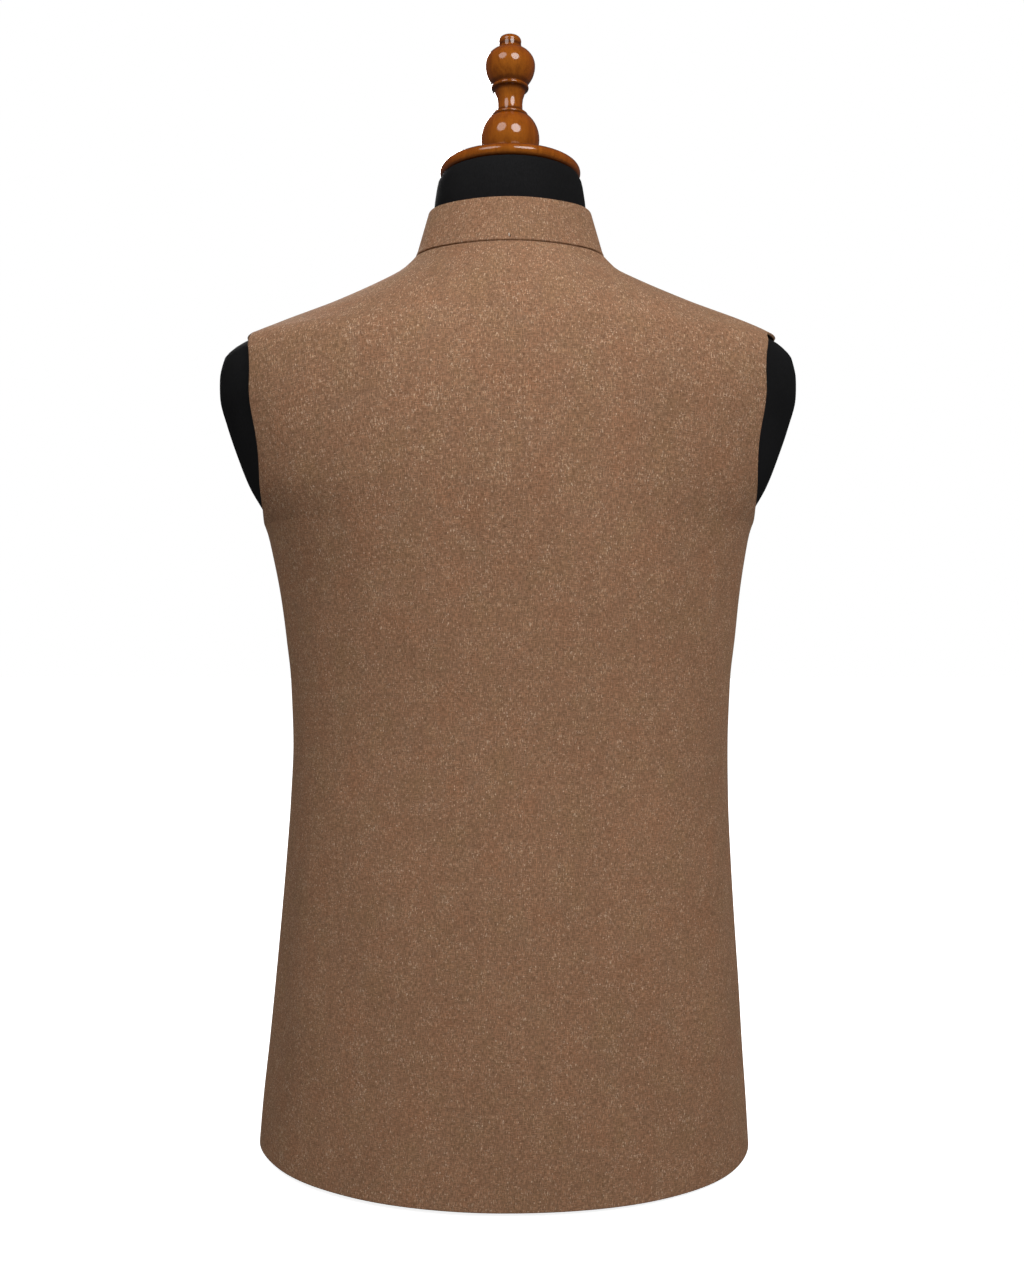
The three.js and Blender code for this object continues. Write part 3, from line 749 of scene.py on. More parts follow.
# %% [markdown]
# ## The back and the two fronts
# The back is one piece with no centre seam. Each front is cut past the centre line, and the left
# one laps over the right, as on men's clothes. Nearer the centre front the left one therefore rises
# by a cloth's thickness.

# %% Plan the panels
BACK_COLUMNS, FRONT_COLUMNS = 96, 56
LIFT = CLOTH + 0.7  # the thickness of the cloth below, and a little air
LIFT_FULL_X, LIFT_ENDS_X = 21, 44


def overlap_lift(point):
    return LIFT * (1 - ease(from_centre(point), LIFT_FULL_X, LIFT_ENDS_X))


def back_panel():
    edge, corner = outer_edge(True)
    side = side_line(True)
    start = edge(TOP)[0][0]
    far = (lambda z: np.pi - side(z), mirrored(edge))
    return Panel((side, edge), far, neckline_between(start, np.pi - start), corner, BACK_COLUMNS)


def front_panel():
    edge, corner = outer_edge(False)
    top = front_angle(-OVERLAP, NECKLINE["front_z"])
    top_z = float(neckline_z(np.array(top)))

    def front_line(z):
        return front_angle(-OVERLAP, z)

    def front_edge(v):
        z = mix(ARMHOLE["bottom_z"], top_z, v)
        return front_line(z), z

    neck = neckline_between(edge(TOP)[0][0], top)
    return Panel((side_line(False), edge), (front_line, front_edge), neck, corner, FRONT_COLUMNS)


print("the left front rises", LIFT, "mm over the right one")


# %% [markdown]
# ## Sewing the panels
# Now each panel gets its two faces. A free edge turns in, and an edge that meets a neighbour dips.
# The armhole is free and the seams above and below it are not, so the rule changes along one and
# the same side of a panel.

# %% Sew the panels
def edge_rules(distance, free):
    """How far an edge turns in and how deep it dips: a free edge turns, and a seam dips."""
    return np.where(free, turned_in(distance, CLOTH), 0), np.where(free, 0, seam_dip(distance))


def clothe(name, panel, on_right=False, lifted=False, far_is_free=True):
    angle = np.pi - panel.angle if on_right else panel.angle
    point = cloth_point(angle, panel.z)
    normal = normal_of(cloth_point, angle, panel.z)
    if lifted:
        point = point + normal * overlap_lift(point)[..., None]
    row = np.arange(len(panel.u))[:, None]
    in_armhole = (row >= panel.low_rows) & (row < panel.low_rows + ARMHOLE_ROWS)
    near_turned, near_dip = edge_rules(panel.from_near, in_armhole)
    far_turned, far_dip = edge_rules(panel.from_far, in_armhole | far_is_free)
    turned = np.maximum(np.maximum(near_turned, far_turned), turned_in(panel.from_hem, CLOTH))
    dip = np.maximum(np.maximum(near_dip, far_dip), seam_dip(panel.from_neck))
    outer = point - normal * np.maximum(turned, dip)[..., None]
    inner = point - normal * (CLOTH - turned)[..., None]
    upright_column = -1 if far_is_free else panel.u.shape[1] // 2
    return close_cloth(name, outer, inner, lay_flat(point, upright_column))


back, back_flat, back_area = clothe("cloth_back", back_panel(), far_is_free=False)
left_front, left_flat, left_area = clothe("cloth_front_left", front_panel(), lifted=True)
right_front, right_flat, right_area = clothe("cloth_front_right", front_panel(), on_right=True)


# %% [markdown]
# ## The stand collar
# The collar is a stiff curved band. It is sewn to the neckline, leans in towards the neck and has
# round front corners. We walk along the seam, find at each place which way the band rises, and
# stack rows from the seam to the top edge. The top edge and both ends are turned. The lower edge is
# rolled and stands a little proud of the back, so that it throws the thin dark line that a collar's
# seam shows.

# %% Walk along the neckline
COLLAR = {"height": 36.8, "front_height": 34, "front_gap": 3, "corner_radius": 14}
COLLAR_LEAN = {"back": 0.27, "side": 0.28, "front": 0.2}
COLLAR_COLUMNS, COLLAR_ROWS = 220, 20


def neck_seam():
    """Places along the neckline from the left front's end round the nape to the right one's."""
    end = float(front_angle(COLLAR["front_gap"], NECKLINE["front_z"]))
    t = np.linspace(end, np.pi - end, 4 * FINE)
    length = running_length(body_point(t, neckline_z(t)))
    wanted = spaced(length[-1], COLLAR_COLUMNS)
    return np.interp(wanted, length, t), wanted, length[-1]


print(f"collar's seam: {neck_seam()[2]:.0f} mm long")


# %% Shape the band
def band_height(s, to_end):
    """How tall the band is: lower in front, and round at both ends. s runs from 1 at the centre
    back through 0 at the sides to -1 at the centre front."""
    radius = COLLAR["corner_radius"]
    short = np.clip(radius - to_end, 0, None)
    corner = radius - np.sqrt(radius**2 - short**2)
    return mix(COLLAR["height"], COLLAR["front_height"], np.clip(-s, 0, 1)) - corner


def band_rise(s, point, along):
    """The way that the band rises: leaning in towards the neck, and square to its seam."""
    middle_y = section["mid_y"](NECKLINE["side_z"])
    outwards = unit(np.stack([point[:, 0], point[:, 1] - middle_y, 0 * s], -1))
    end_lean = np.where(s > 0, COLLAR_LEAN["back"], COLLAR_LEAN["front"])
    lean = mix(COLLAR_LEAN["side"], end_lean, np.abs(s))
    upright = np.stack([0 * s, 0 * s, np.cos(lean)], -1) - outwards * np.sin(lean)[:, None]
    return unit(upright - along * (upright * along).sum(-1, keepdims=True))


print("collar:", COLLAR["height"], "mm tall at the nape")


# %% Build the collar
COLLAR_CLOTH = 2.4
COLLAR_BEND = 4  # over this height the band turns from the back's slope into its own
PROUD, PROUD_REACH = 0.5, 5.0  # the lower edge stands out this far, up to this height
ROLLED = 1.2  # the thickness of its roll


def build_collar():
    angle, along_seam, length = neck_seam()
    s, to_end = np.sin(angle), np.minimum(along_seam, length - along_seam)
    z = neckline_z(angle)
    point, normal = body_point(angle, z), normal_of(body_point, angle, z)
    lift = np.where((angle < 0) & (angle > CENTRE_FRONT), overlap_lift(point), 0)
    base = point + normal * lift[:, None]
    along = unit(np.gradient(base, axis=0))
    up_cloth, rising = unit(np.cross(normal, along)), band_rise(s, point, along)
    band_normal, height = unit(np.cross(along, rising)), band_height(s, to_end)
    outer, inner, flat = [], [], []
    for row in spaced(height, COLLAR_ROWS).T:
        turned = np.maximum(turned_in(height - row, COLLAR_CLOTH), turned_in(to_end, COLLAR_CLOTH))
        turned = turned + turned_in(row, ROLLED)
        proud = PROUD * (1 - ease(row, 0, PROUD_REACH)) * ease(to_end, 0, PROUD_REACH)
        out_way = unit(mix(normal, band_normal, ease(row, 0, COLLAR_BEND)[:, None]))
        place = base + up_cloth * SEAM + rising * row[:, None]
        outer.append(place + out_way * (proud - turned)[:, None])
        inner.append(place - out_way * (COLLAR_CLOTH - turned)[:, None])
        flat.append(np.stack([along_seam - length / 2, row], -1))
    return close_cloth("cloth_collar", np.array(outer), np.array(inner), np.array(flat))


collar, collar_flat, collar_area = build_collar()


# %% [markdown]
# ## The dress form
# Under the waistcoat stands a padded form covered in black jersey. Its shoulder caps show outside
# the armholes, and its neck rises out of the collar. It has the cloth's own sections, less the room
# between them, and its shoulders run into a round neck. A smooth maximum of two distances makes
# that turn without a seam.

# %% Build the form
NECK_COLUMNS = ("z", "radius")
NECK = ((600, 48), (690, 57), (724, 59.6), (738, 60.2), (752, 58.6), (760, 57), (763.6, 55))
NECK_BLEND = 14  # the higher, the sharper the shoulders turn into the neck
NECK_TOP_Y, NECK_TOP_Z = 5.0, 763.6
NECK_MIDDLE = np.array([0, NECK_TOP_Y])
FORM_COLUMNS, FORM_ROWS = 160, 200
neck_radius = curves_of(NECK_COLUMNS, NECK)["radius"]


def form_point(angle, z):
    point = body_point(angle, z) - normal_of(body_point, angle, z) * section["to_form"](z)[..., None]
    across = point[..., :2] - NECK_MIDDLE
    reach = lengths(across)
    blended = (reach**NECK_BLEND + neck_radius(point[..., 2]) ** NECK_BLEND) ** (1 / NECK_BLEND)
    across = across * (blended / reach)[..., None] + NECK_MIDDLE
    return np.concatenate([across, point[..., 2:]], axis=-1)


def build_form():
    turns = np.arange(FORM_COLUMNS) / FORM_COLUMNS * 2 * np.pi
    grid = form_point(*np.meshgrid(turns, np.linspace(0, NECK_TOP_Z, FORM_ROWS)))
    grid[0, :, 2] = 0
    points, faces = closed_tube(grid, (0, 0, 0), (*NECK_MIDDLE, NECK_TOP_Z))
    return face_outwards(make_piece("jersey_form", points, faces, smooth_below=60))


form = build_form()
print("form:", len(form.data.polygons), "faces")


# %% [markdown]
# ## Turned wood
# A turner shapes the cap and the finial on a lathe, so each is one profile swung round an axis.
# Blender's Screw modifier would do it, but a small loop over angles is as short and leaves a clean
# closed mesh. A profile is a list of radius and height, and its round stretches are arcs.

# %% A lathe
LATHE_SIDES = 96


def circle(sides):
    """Places round a circle with a radius of 1."""
    turn = np.arange(sides) / sides * 2 * np.pi
    return np.stack([np.cos(turn), np.sin(turn)], -1)


def arc(r, z, radius, start, end, steps, rise=1.0):
    """Points of radius and height on an arc. rise is its height as a share of its radius."""
    turn = np.radians(np.linspace(start, end, steps + 1))
    return list(zip(r + radius * np.cos(turn), z + rise * radius * np.sin(turn)))


def turned_piece(name, profile, base, sides=LATHE_SIDES, smooth_below=35):
    """A closed mesh from a profile that starts and ends on the axis."""
    inner = np.array(profile[1:-1], float)
    rings = [np.column_stack([r * circle(sides), np.full(sides, z)]) for r, z in inner]
    points, faces = closed_tube(rings, (0, 0, profile[0][1]), (0, 0, profile[-1][1]))
    return face_outwards(make_piece(name, points + np.array(base), faces, smooth_below))


print("sides of a turned piece:", LATHE_SIDES)


# %% [markdown]
# ## The neck cap
# A round wooden cap closes the form's neck. Its rim is fully rounded, as wood that hands touch
# often is. A half circle of the profile gives that rim.

# %% Turn the neck cap
CAP_RADIUS, CAP_THICK = 56.0, 10.0
rim = CAP_THICK / 2
cap_profile = [(0, 0), *arc(CAP_RADIUS - rim, rim, rim, -90, 90, 20), (0, CAP_THICK)]
neck_cap = turned_piece("wood_cap", cap_profile, (0, NECK_TOP_Y, NECK_TOP_Z + SEAM))
print("neck cap:", 2 * CAP_RADIUS, "mm across")


# %% [markdown]
# ## The finial
# From the bottom, the finial has a half round foot, a bulb, a fine bead, a slender stem, a second
# bead, a ball that is a little flat on top, and a knob to lift the form by. Each part is an arc or
# a few points, so one can be changed without moving the others.

# %% Turn the finial
FINIAL_TALL = 104.6
finial_z = NECK_TOP_Z + CAP_THICK + 2 * SEAM
finial_profile = [
    (0, 0),
    *arc(20, 4, 4, -90, 90, 14),
    *arc(0, 22.5, 23.4, -32, 44, 26),
    *arc(12.6, 41.2, 1.8, -60, 80, 10),
    (10.6, 44),
    (10.0, 47),
    (9.9, 51),
    (10.4, 55),
    (12.2, 60.5),
    *arc(13, 63.6, 1.9, -70, 70, 10),
    *arc(0, 81.2, 20, -46, 0, 14),
    *arc(0, 81.2, 20, 4, 62, 15, rise=0.76),
    *arc(5, 100.4, 4, -20, 90, 14),
    (0, FINIAL_TALL),
]
finial = turned_piece("wood_finial", finial_profile, (0, NECK_TOP_Y, finial_z))
print("finial height:", FINIAL_TALL, "mm")


# %% [markdown]
# ## A button's profile
# A real horn button is turned: a round rim, a dished middle and four drilled holes. We turn it on
# the same lathe, and drill it afterwards, because a lathe can't make a hole off its axis. It is
# made lying flat at the origin.

# %% Measure a button
BUTTON_RADIUS, BUTTON_THICK, BUTTON_DISH = 10.5, 3.6, 1.1
DISH_RADIUS = 7.5
BUTTON_SIDES = 64
button_edge = BUTTON_THICK / 2
dish_z = BUTTON_THICK - BUTTON_DISH
DISH_TOP = dish_z - 0.25  # the height of the dish round the holes
button_profile = [
    (0, 0),
    (BUTTON_RADIUS - button_edge, 0),
    *arc(BUTTON_RADIUS - button_edge, button_edge, button_edge, -80, 90, 14),
    *arc(DISH_RADIUS, dish_z, BUTTON_DISH, 90, 172, 8),
    (5.0, dish_z - 0.15),
    (2.5, DISH_TOP),
    (0, dish_z - 0.28),
]
print("button:", 2 * BUTTON_RADIUS, "mm across")


# %% [markdown]
# ## Drilling
# Blender's Boolean modifier takes four thin rods away from the button. It is given the exact
# solver, because the rods are small beside the button.

# %% Turn one button and drill it
HOLE_RADIUS, HOLE_OFFSET = 0.95, 1.78
DRILL_PAST, DRILL_SIDES = 1.0, 20


def drilled_button():
    blank = turned_piece("button_blank", button_profile, (0, 0, 0), BUTTON_SIDES)
    rod_length = BUTTON_THICK + 2 * DRILL_PAST
    rod = [(0, 0), (HOLE_RADIUS, 0), (HOLE_RADIUS, rod_length), (0, rod_length)]
    offsets = (-HOLE_OFFSET, HOLE_OFFSET)
    places = [(x, y, -DRILL_PAST) for x in offsets for y in offsets]
    drills = [turned_piece(f"drill_{k}", rod, place, DRILL_SIDES) for k, place in enumerate(places)]
    for drill in drills:
        cut = blank.modifiers.new(drill.name, "BOOLEAN")
        cut.object, cut.operation, cut.solver = drill, "DIFFERENCE", "EXACT"
    mesh = bpy.data.meshes.new_from_object(blank.evaluated_get(bpy.context.evaluated_depsgraph_get()))
    points = np.empty(len(mesh.vertices) * 3)
    mesh.vertices.foreach_get("co", points)
    faces = [list(face.vertices) for face in mesh.polygons]
    for helper in [blank, *drills]:
        bpy.data.objects.remove(helper)
    return points.reshape(-1, 3) / MM, faces


button_points, button_faces = drilled_button()
print("one button:", len(button_faces), "faces")


# %% [markdown]
# ## Threads
# Sewing is round and stands proud of the cloth, so a line painted on would look wrong from the
# side. A thread here is a thin tube along a few points. All the threads of one button or buttonhole
# are joined into one mesh.

# %% Spin a thread
THREAD_SIDES, THREAD_STEPS = 6, 10
NEARLY_UPRIGHT = 0.2  # a thread as steep as this takes its side from the x axis


def thread(points, radius):
    """A round thread that runs smoothly through its points, closed at both ends."""
    points = np.array(points, float)
    knots, steps = np.linspace(0, 1, len(points)), np.linspace(0, 1, THREAD_STEPS)
    path = np.stack([curve_through(knots, points[:, k])(steps) for k in range(3)], -1)
    along = unit(np.gradient(path, axis=0))
    side = np.cross(along, [0, 0, 1.0])
    steep = np.linalg.norm(side, axis=-1, keepdims=True) < NEARLY_UPRIGHT
    side = unit(np.where(steep, np.cross(along, [1.0, 0, 0]), side))
    other = np.cross(along, side)
    ring = circle(THREAD_SIDES)
    rings = path[:, None] + radius * (ring[:, :1] * side[:, None] + ring[:, 1:] * other[:, None])
    return closed_tube(rings, path[0], path[-1])


def sew(name, threads):
    """One mesh from many threads."""
    points, faces, count = [], [], 0
    for thread_points, thread_faces in threads:
        points.append(thread_points)
        faces += [[corner + count for corner in face] for face in thread_faces]
        count += len(thread_points)
    return make_piece(name, np.concatenate(points), faces, smooth_below=80)


print("faces in one thread:", len(thread([(0, 0, 0), (1, 0, 0)], 0.2)[1]))


# %% [markdown]
# ## Buttons on the front
# Each button lies on the left front on the centre line, where its plain solid lies, and faces
# straight out of the cloth there. Three strands of thread pass through each pair of its holes.

# %% Place the buttons
BUTTON_COUNT, BUTTON_TOP_Z, BUTTON_PITCH = 5, 604.0, 92.0
BUTTON_HEIGHTS = [BUTTON_TOP_Z - k * BUTTON_PITCH for k in range(BUTTON_COUNT)]
BUTTON_LIFT = 0.6  # the button lies on its short thread shank
STRAND_RADIUS, STRAND_STEP = 0.24, 0.46
STRAND_ARCH = ((-1, -1.6), (-0.8, 0.25), (0, 0.45), (0.8, 0.25), (1, -1.6))  # share across, height


def on_left_front(across, z, lift):
    """A place across from the centre front, at a height, and lifted off the left front."""
    angle = np.asarray(front_angle(across, z), float)
    point, normal = cloth_point(angle, z), normal_of(cloth_point, angle, z)
    return point + normal * (overlap_lift(point) + lift), normal


def place_button(number, z):
    place, out = on_left_front(0.0, z, BUTTON_LIFT)
    level = unit(np.cross([0, 0, 1.0], out))
    turned = np.stack([level, np.cross(out, level), out])
    points = button_points @ turned + place
    horn = make_piece(f"button_{number}_horn", points, button_faces, smooth_below=35)
    strands = []
    for row in (-HOLE_OFFSET, HOLE_OFFSET):
        for strand in (-STRAND_STEP, 0, STRAND_STEP):
            arch = [np.array([x * HOLE_OFFSET, row + strand, DISH_TOP + up]) for x, up in STRAND_ARCH]
            strands.append(thread([point @ turned + place for point in arch], STRAND_RADIUS))
    return horn, sew(f"button_{number}_thread", strands)


buttons = [place_button(number, z) for number, z in enumerate(BUTTON_HEIGHTS, 1)]
print(len(buttons), "buttons, at", BUTTON_HEIGHTS, "mm")


# %% [markdown]
# ## Buttonholes
# The left front needs a buttonhole under each button. Its slit runs from just past the button's
# centre towards the wearer's left, with a stitch across its edge every 0.8 mm and a bar at its end.
# We sew every stitch as its own small arch, since these are the only stitches that show on the
# front.

# %% Sew the buttonholes
SLIT_START, SLIT_END = -2.0, 21.0
STITCH_STEP, STITCH_RADIUS = 0.8, 0.26
STITCH_ARCH = ((0.15, -0.05), (0.5, 0.2), (1.3, 0.2), (2.0, -0.15))  # off the slit, off the cloth
BAR_STEP, BAR_STITCHES = 0.5, 5
BAR_ARCH = ((-2.0, -0.15), (-1.2, 0.25), (0, 0.3), (1.2, 0.25), (2.0, -0.15))


def buttonhole(number, z):
    def stitch(across, arch, side=1):
        places = [on_left_front(across, z + side * up, lift)[0] for up, lift in arch]
        return thread(places, STITCH_RADIUS)

    slit = np.arange(SLIT_START, SLIT_END, STITCH_STEP)
    stitches = [stitch(across, STITCH_ARCH, side) for across in slit for side in (1, -1)]
    stitches += [stitch(SLIT_END + k * BAR_STEP, BAR_ARCH) for k in range(BAR_STITCHES)]
    return sew(f"buttonhole_{number}", stitches)


buttonholes = [buttonhole(number, z) for number, z in enumerate(BUTTON_HEIGHTS, 1)]
print("faces in one buttonhole:", len(buttonholes[0].data.polygons))


# %% [markdown]
# ## The tack at the nape
# One small pale tack and a darker one show just above the collar's seam at the centre back, where
# the collar's layers are caught together.

# %% Sew the tack
TACK_RADIUS = 0.3
TACK_ARCH = ((0, -0.3), (0.25, 0.25), (0.75, 0.25), (1, -0.3))  # share up, off the cloth


def nape_place(across, tall, lift):
    lean = COLLAR_LEAN["back"]
    seam = body_point(np.pi / 2, NECKLINE["nape_z"])
    up = np.array([0, -math.sin(lean), math.cos(lean)])
    out = np.array([0, math.cos(lean), math.sin(lean)])
    return seam + np.array([across, 0, SEAM]) + up * tall + out * lift


def tack(name, across, low, high):
    places = [nape_place(across, mix(low, high, share), lift) for share, lift in TACK_ARCH]
    return sew(name, [thread(places, TACK_RADIUS)])


pale_tack = tack("nape_tack_pale", across=0.5, low=2.62, high=5.0)
dark_tack = tack("nape_tack_dark", across=-0.4, low=1.6, high=3.64)
print("tacks:", pale_tack.name, "and", dark_tack.name)


# %% [markdown]
# ## Camera
# The photograph looks straight at the back from just above the waist, with a level camera, so
# upright edges stay parallel. It was taken from about a metre away, and a lens of 35 mm gives the
# same perspective.

# %% Place the camera
camera = put_in_scene("camera", bpy.data.cameras.new("camera"))
camera.data.lens = 35
camera.data.sensor_width = 36
camera.location = (-0.0016, 0.996, 0.3985)
camera.rotation_euler = (math.radians(90), 0, math.radians(180))
bpy.context.scene.camera = camera
print("camera at", tuple(round(v, 4) for v in camera.location))


# %% [markdown]
# ## Floor
# The object stands on a white floor that runs into a white sky. Such a floor would throw strong
# light up at the cloth, which the real one doesn't show, so diffuse and glossy rays pass the floor
# by.

# %% Lay the floor
FLOOR_HALF = 12000
FLOOR_SIGNS = ((-1, -1), (1, -1), (1, 1), (-1, 1))
floor_corners = [(FLOOR_HALF * x, FLOOR_HALF * y, 0) for x, y in FLOOR_SIGNS]
floor = make_piece("floor", floor_corners, [(0, 1, 2, 3)])
floor.visible_diffuse = False
floor.visible_glossy = False
print("floor:", 2 * FLOOR_HALF * MM, "m square")


# %% [markdown]
# ## Lamps
# The upper back is bright, the lower back darker, and the wearer's left side darkest. So the main
# soft light hangs high behind the camera on the right, a weaker one on the left, and both make the
# pair of highlights on the finial. Two weak lamps give the sides their pale rim. The last one
# lights the front for the other views.

# %% Hang the lamps
LAMPS = {  # place, aim, size, power
    "key_right": ((-0.7, 1.6, 1.55), (0, 0, 0.45), 1.1, 27.5),
    "key_left": ((0.6, 0.9, 1.4), (0, 0, 0.6), 0.7, 5.6),
    "rim_left": ((1.3, -0.9, 0.9), (0.2, 0, 0.4), 0.8, 1.8),
    "rim_right": ((-1.3, -0.7, 0.9), (-0.2, 0, 0.4), 0.8, 4.2),
    "front_side": ((0.7, -2.1, 1.8), (0, 0, 0.4), 1.0, 25),
}
for name, (place, aim, size, power) in LAMPS.items():
    lamp = put_in_scene(name, bpy.data.lights.new(name, "AREA"))
    lamp.data.shape, lamp.data.size, lamp.data.energy = "DISK", size, power
    lamp.location = place
    lamp.rotation_euler = (Vector(aim) - Vector(place)).to_track_quat("-Z", "Y").to_euler()
    lamp.visible_glossy = not name.startswith("rim")  # the varnish shows no lamp at the sides
print("lamps:", ", ".join(LAMPS))


# %% [markdown]
# ## Sky
# The sky is dimmer than the lamps, dimmer below than above, and dimmer still in the varnish, as in
# a studio with dark walls. The camera itself sees it as plain white. A plain white sky for every
# ray would be simpler, but it would fill the soft shadows that give the cloth its form.

# %% Light the sky
SKY_BELOW, SKY_ABOVE, SKY_IN_GLOSS = 0.11, 0.54, 0.08
world = bpy.data.worlds.new("pale_sky")
world.use_nodes = True
bpy.context.scene.world = world
sky = world.node_tree
node, join = sky.nodes.new, sky.links.new
background = sky.nodes["Background"]
split, height = node("ShaderNodeSeparateXYZ"), node("ShaderNodeMapRange")
join(node("ShaderNodeTexCoord").outputs["Generated"], split.inputs[0])
for socket, value in (("From Min", -1), ("From Max", 1), ("To Min", SKY_BELOW), ("To Max", SKY_ABOVE)):
    height.inputs[socket].default_value = value
join(split.outputs["Z"], height.inputs["Value"])
seen = node("ShaderNodeLightPath")
light_so_far = height.outputs["Result"]
for ray, strength in (("Is Glossy Ray", SKY_IN_GLOSS), ("Is Camera Ray", 1.0)):
    choice = node("ShaderNodeMix")
    join(seen.outputs[ray], choice.inputs["Factor"])
    join(light_so_far, choice.inputs["A"])
    choice.inputs["B"].default_value = strength
    light_so_far = choice.outputs["Result"]
join(light_so_far, background.inputs["Strength"])
background.inputs["Color"].default_value = (1, 1, 1, 1)
bpy.context.scene.view_settings.view_transform = "Standard"
print("sky from", SKY_BELOW, "to", SKY_ABOVE)


# %% [markdown]
# ## Finishes
# Every finish is a Principled shader fed by a few procedural textures. A small class keeps the node
# calls short: it makes a node, sets its inputs and joins it to the ones before it.

# %% A finish and its nodes
NOISE_LOW, NOISE_HIGH = 0.3, 0.7  # nearly all of a noise lies between these


class Finish:
    """A material, and the few kinds of node that its textures are made of."""

    def __init__(self, name, **sockets):
        self.material = bpy.data.materials.new(name)
        self.material.use_nodes = True
        self.tree = self.material.node_tree
        self.shader = self.tree.nodes["Principled BSDF"]
        for socket, value in sockets.items():
            self.shader.inputs[socket.replace("_", " ")].default_value = value

    def give(self, socket, value):
        if isinstance(value, bpy.types.NodeSocket):
            self.tree.links.new(value, socket)
        else:
            socket.default_value = value

    def node(self, kind, inputs, **settings):
        node = self.tree.nodes.new(kind)
        for name, value in settings.items():
            setattr(node, name, value)
        for key, value in inputs.items():
            self.give(node.inputs[key], value)
        return node

    def sized(self, place, size):
        """A place counted in steps of this size along each axis."""
        inputs = {0: place, 1: [1 / side for side in size]}
        return self.node("ShaderNodeVectorMath", inputs, operation="MULTIPLY").outputs[0]

    def millimetres(self):
        """The place on the object, in millimetres."""
        return self.sized(self.node("ShaderNodeTexCoord", {}).outputs["Object"], (MM, MM, MM))

    def math(self, operation, first, second=0.0):
        return self.node("ShaderNodeMath", {0: first, 1: second}, operation=operation).outputs[0]

    def noise(self, place, size, detail=2.0, roughness=0.5, shift=None):
        """Soft random patches of this size, in millimetres."""
        place = self.sized(place, size)
        if shift:
            place = self.node("ShaderNodeVectorMath", {0: place, 1: shift}, operation="ADD").outputs[0]
        inputs = {"Vector": place, "Scale": 1.0, "Detail": detail, "Roughness": roughness}
        return self.node("ShaderNodeTexNoise", inputs).outputs[0]

    def ramp(self, value, low, high, to_low=0.0, to_high=1.0):
        ends = {"From Min": low, "From Max": high, "To Min": to_low, "To Max": to_high}
        return self.node("ShaderNodeMapRange", {"Value": value, **ends}).outputs[0]

    def spread(self, noise, low, high):
        """A noise stretched until it runs from low to high."""
        return self.ramp(noise, NOISE_LOW, NOISE_HIGH, low, high)

    def colours(self, share, first, second, how="MIX"):
        """Two colours mixed. A mix node's colour sockets are the ones numbered 6 and 7."""
        mixed = self.node("ShaderNodeMix", {}, data_type="RGBA", blend_type=how)
        for key, value in ((0, share), (6, first), (7, second)):
            self.give(mixed.inputs[key], value)
        return mixed.outputs[2]

    def shaded(self, colour, value):
        """A colour made lighter or darker by a number."""
        grey = self.node("ShaderNodeCombineColor", {0: value, 1: value, 2: value}).outputs[0]
        return self.colours(1.0, colour, grey, "MULTIPLY")

    def bump(self, height, depth_mm, strength=1.0):
        inputs = {"Height": height, "Distance": depth_mm * MM, "Strength": strength}
        self.give(self.shader.inputs["Normal"], self.node("ShaderNodeBump", inputs).outputs[0])

    def colour(self, value):
        self.give(self.shader.inputs["Base Color"], value)


def tint(red, green, blue):
    return (red, green, blue, 1.0)


print("finishes start from the Principled shader")


# %% [markdown]
# ## Yarn and dye
# The cloth is woven from uneven brown yarn. Seen close, it shows short upright and level threads,
# and broad faint patches of rust, moss and grey. An image could hold that, but it would blur close
# up. We draw it in the flat pattern's millimetres instead: noise stretched along each thread
# direction for the weave, and rounder noise for the patches. Each patch multiplies the colour below
# it, as a dye does.

# %% Spin and dye the yarn
THREAD_WIDE, THREAD_LONG, WEFT_SUNK = 0.72, 3.6, 0.02
BROWN = tint(0.234, 0.125, 0.071)
RUST, MOSS, ASH = tint(1.04, 0.98, 0.94), tint(0.98, 1.01, 0.96), tint(0.99, 1.02, 1.05)
BROAD_SHADES = (((2.4, 40, 1), 0.94, 1.06), ((75, 90, 1), 0.96, 1.04))  # size, darkest and lightest


def yarn_shade(cloth, uv):
    """The relief of the threads, and how light the yarn is."""
    warp = cloth.noise(uv, (THREAD_WIDE, THREAD_LONG, 1), detail=0.0)
    weft = cloth.noise(uv, (THREAD_LONG, THREAD_WIDE, 1), detail=0.0)
    threads = cloth.math("MAXIMUM", warp, cloth.math("SUBTRACT", weft, WEFT_SUNK))
    shade = cloth.ramp(threads, 0.4, 0.8, 0.7, 1.44)
    for size, darkest, lightest in BROAD_SHADES:
        broad = cloth.spread(cloth.noise(uv, size, detail=1.0), darkest, lightest)
        shade = cloth.math("MULTIPLY", shade, broad)
    return threads, shade


def dyed(cloth, uv, colour):
    """The colour with its patches. A dye starts at one value of a noise and is full at another."""
    patches = cloth.noise(uv, (30, 38, 1), detail=3.0, roughness=0.55)
    grey_patches = cloth.noise(uv, (22, 26, 1))
    dyes = ((patches, 0.5, 0.72, RUST), (patches, 0.5, 0.3, MOSS), (grey_patches, 0.56, 0.7, ASH))
    for noise, starts, full, dye in dyes:
        dipped = cloth.colours(1.0, colour, dye, "MULTIPLY")
        colour = cloth.colours(cloth.ramp(noise, starts, full), colour, dipped)
    return colour


print("one thread of the weave:", THREAD_WIDE, "mm wide")


# %% [markdown]
# ## Slubs, grains and pits
# Slubs are short thick stretches of pale yarn, cream and gold. We take the peaks of a noise drawn
# out along the thread for them. Grains and pits are small round spots. A cell texture gives those:
# each cell's random colour says whether it holds a spot, and how large it is. A pit's dark colour
# is painted shade.

# %% Draw slubs and spots
SLUB_EDGE, SPOT_EDGE = 0.06, 0.45  # how softly a slub and a spot end


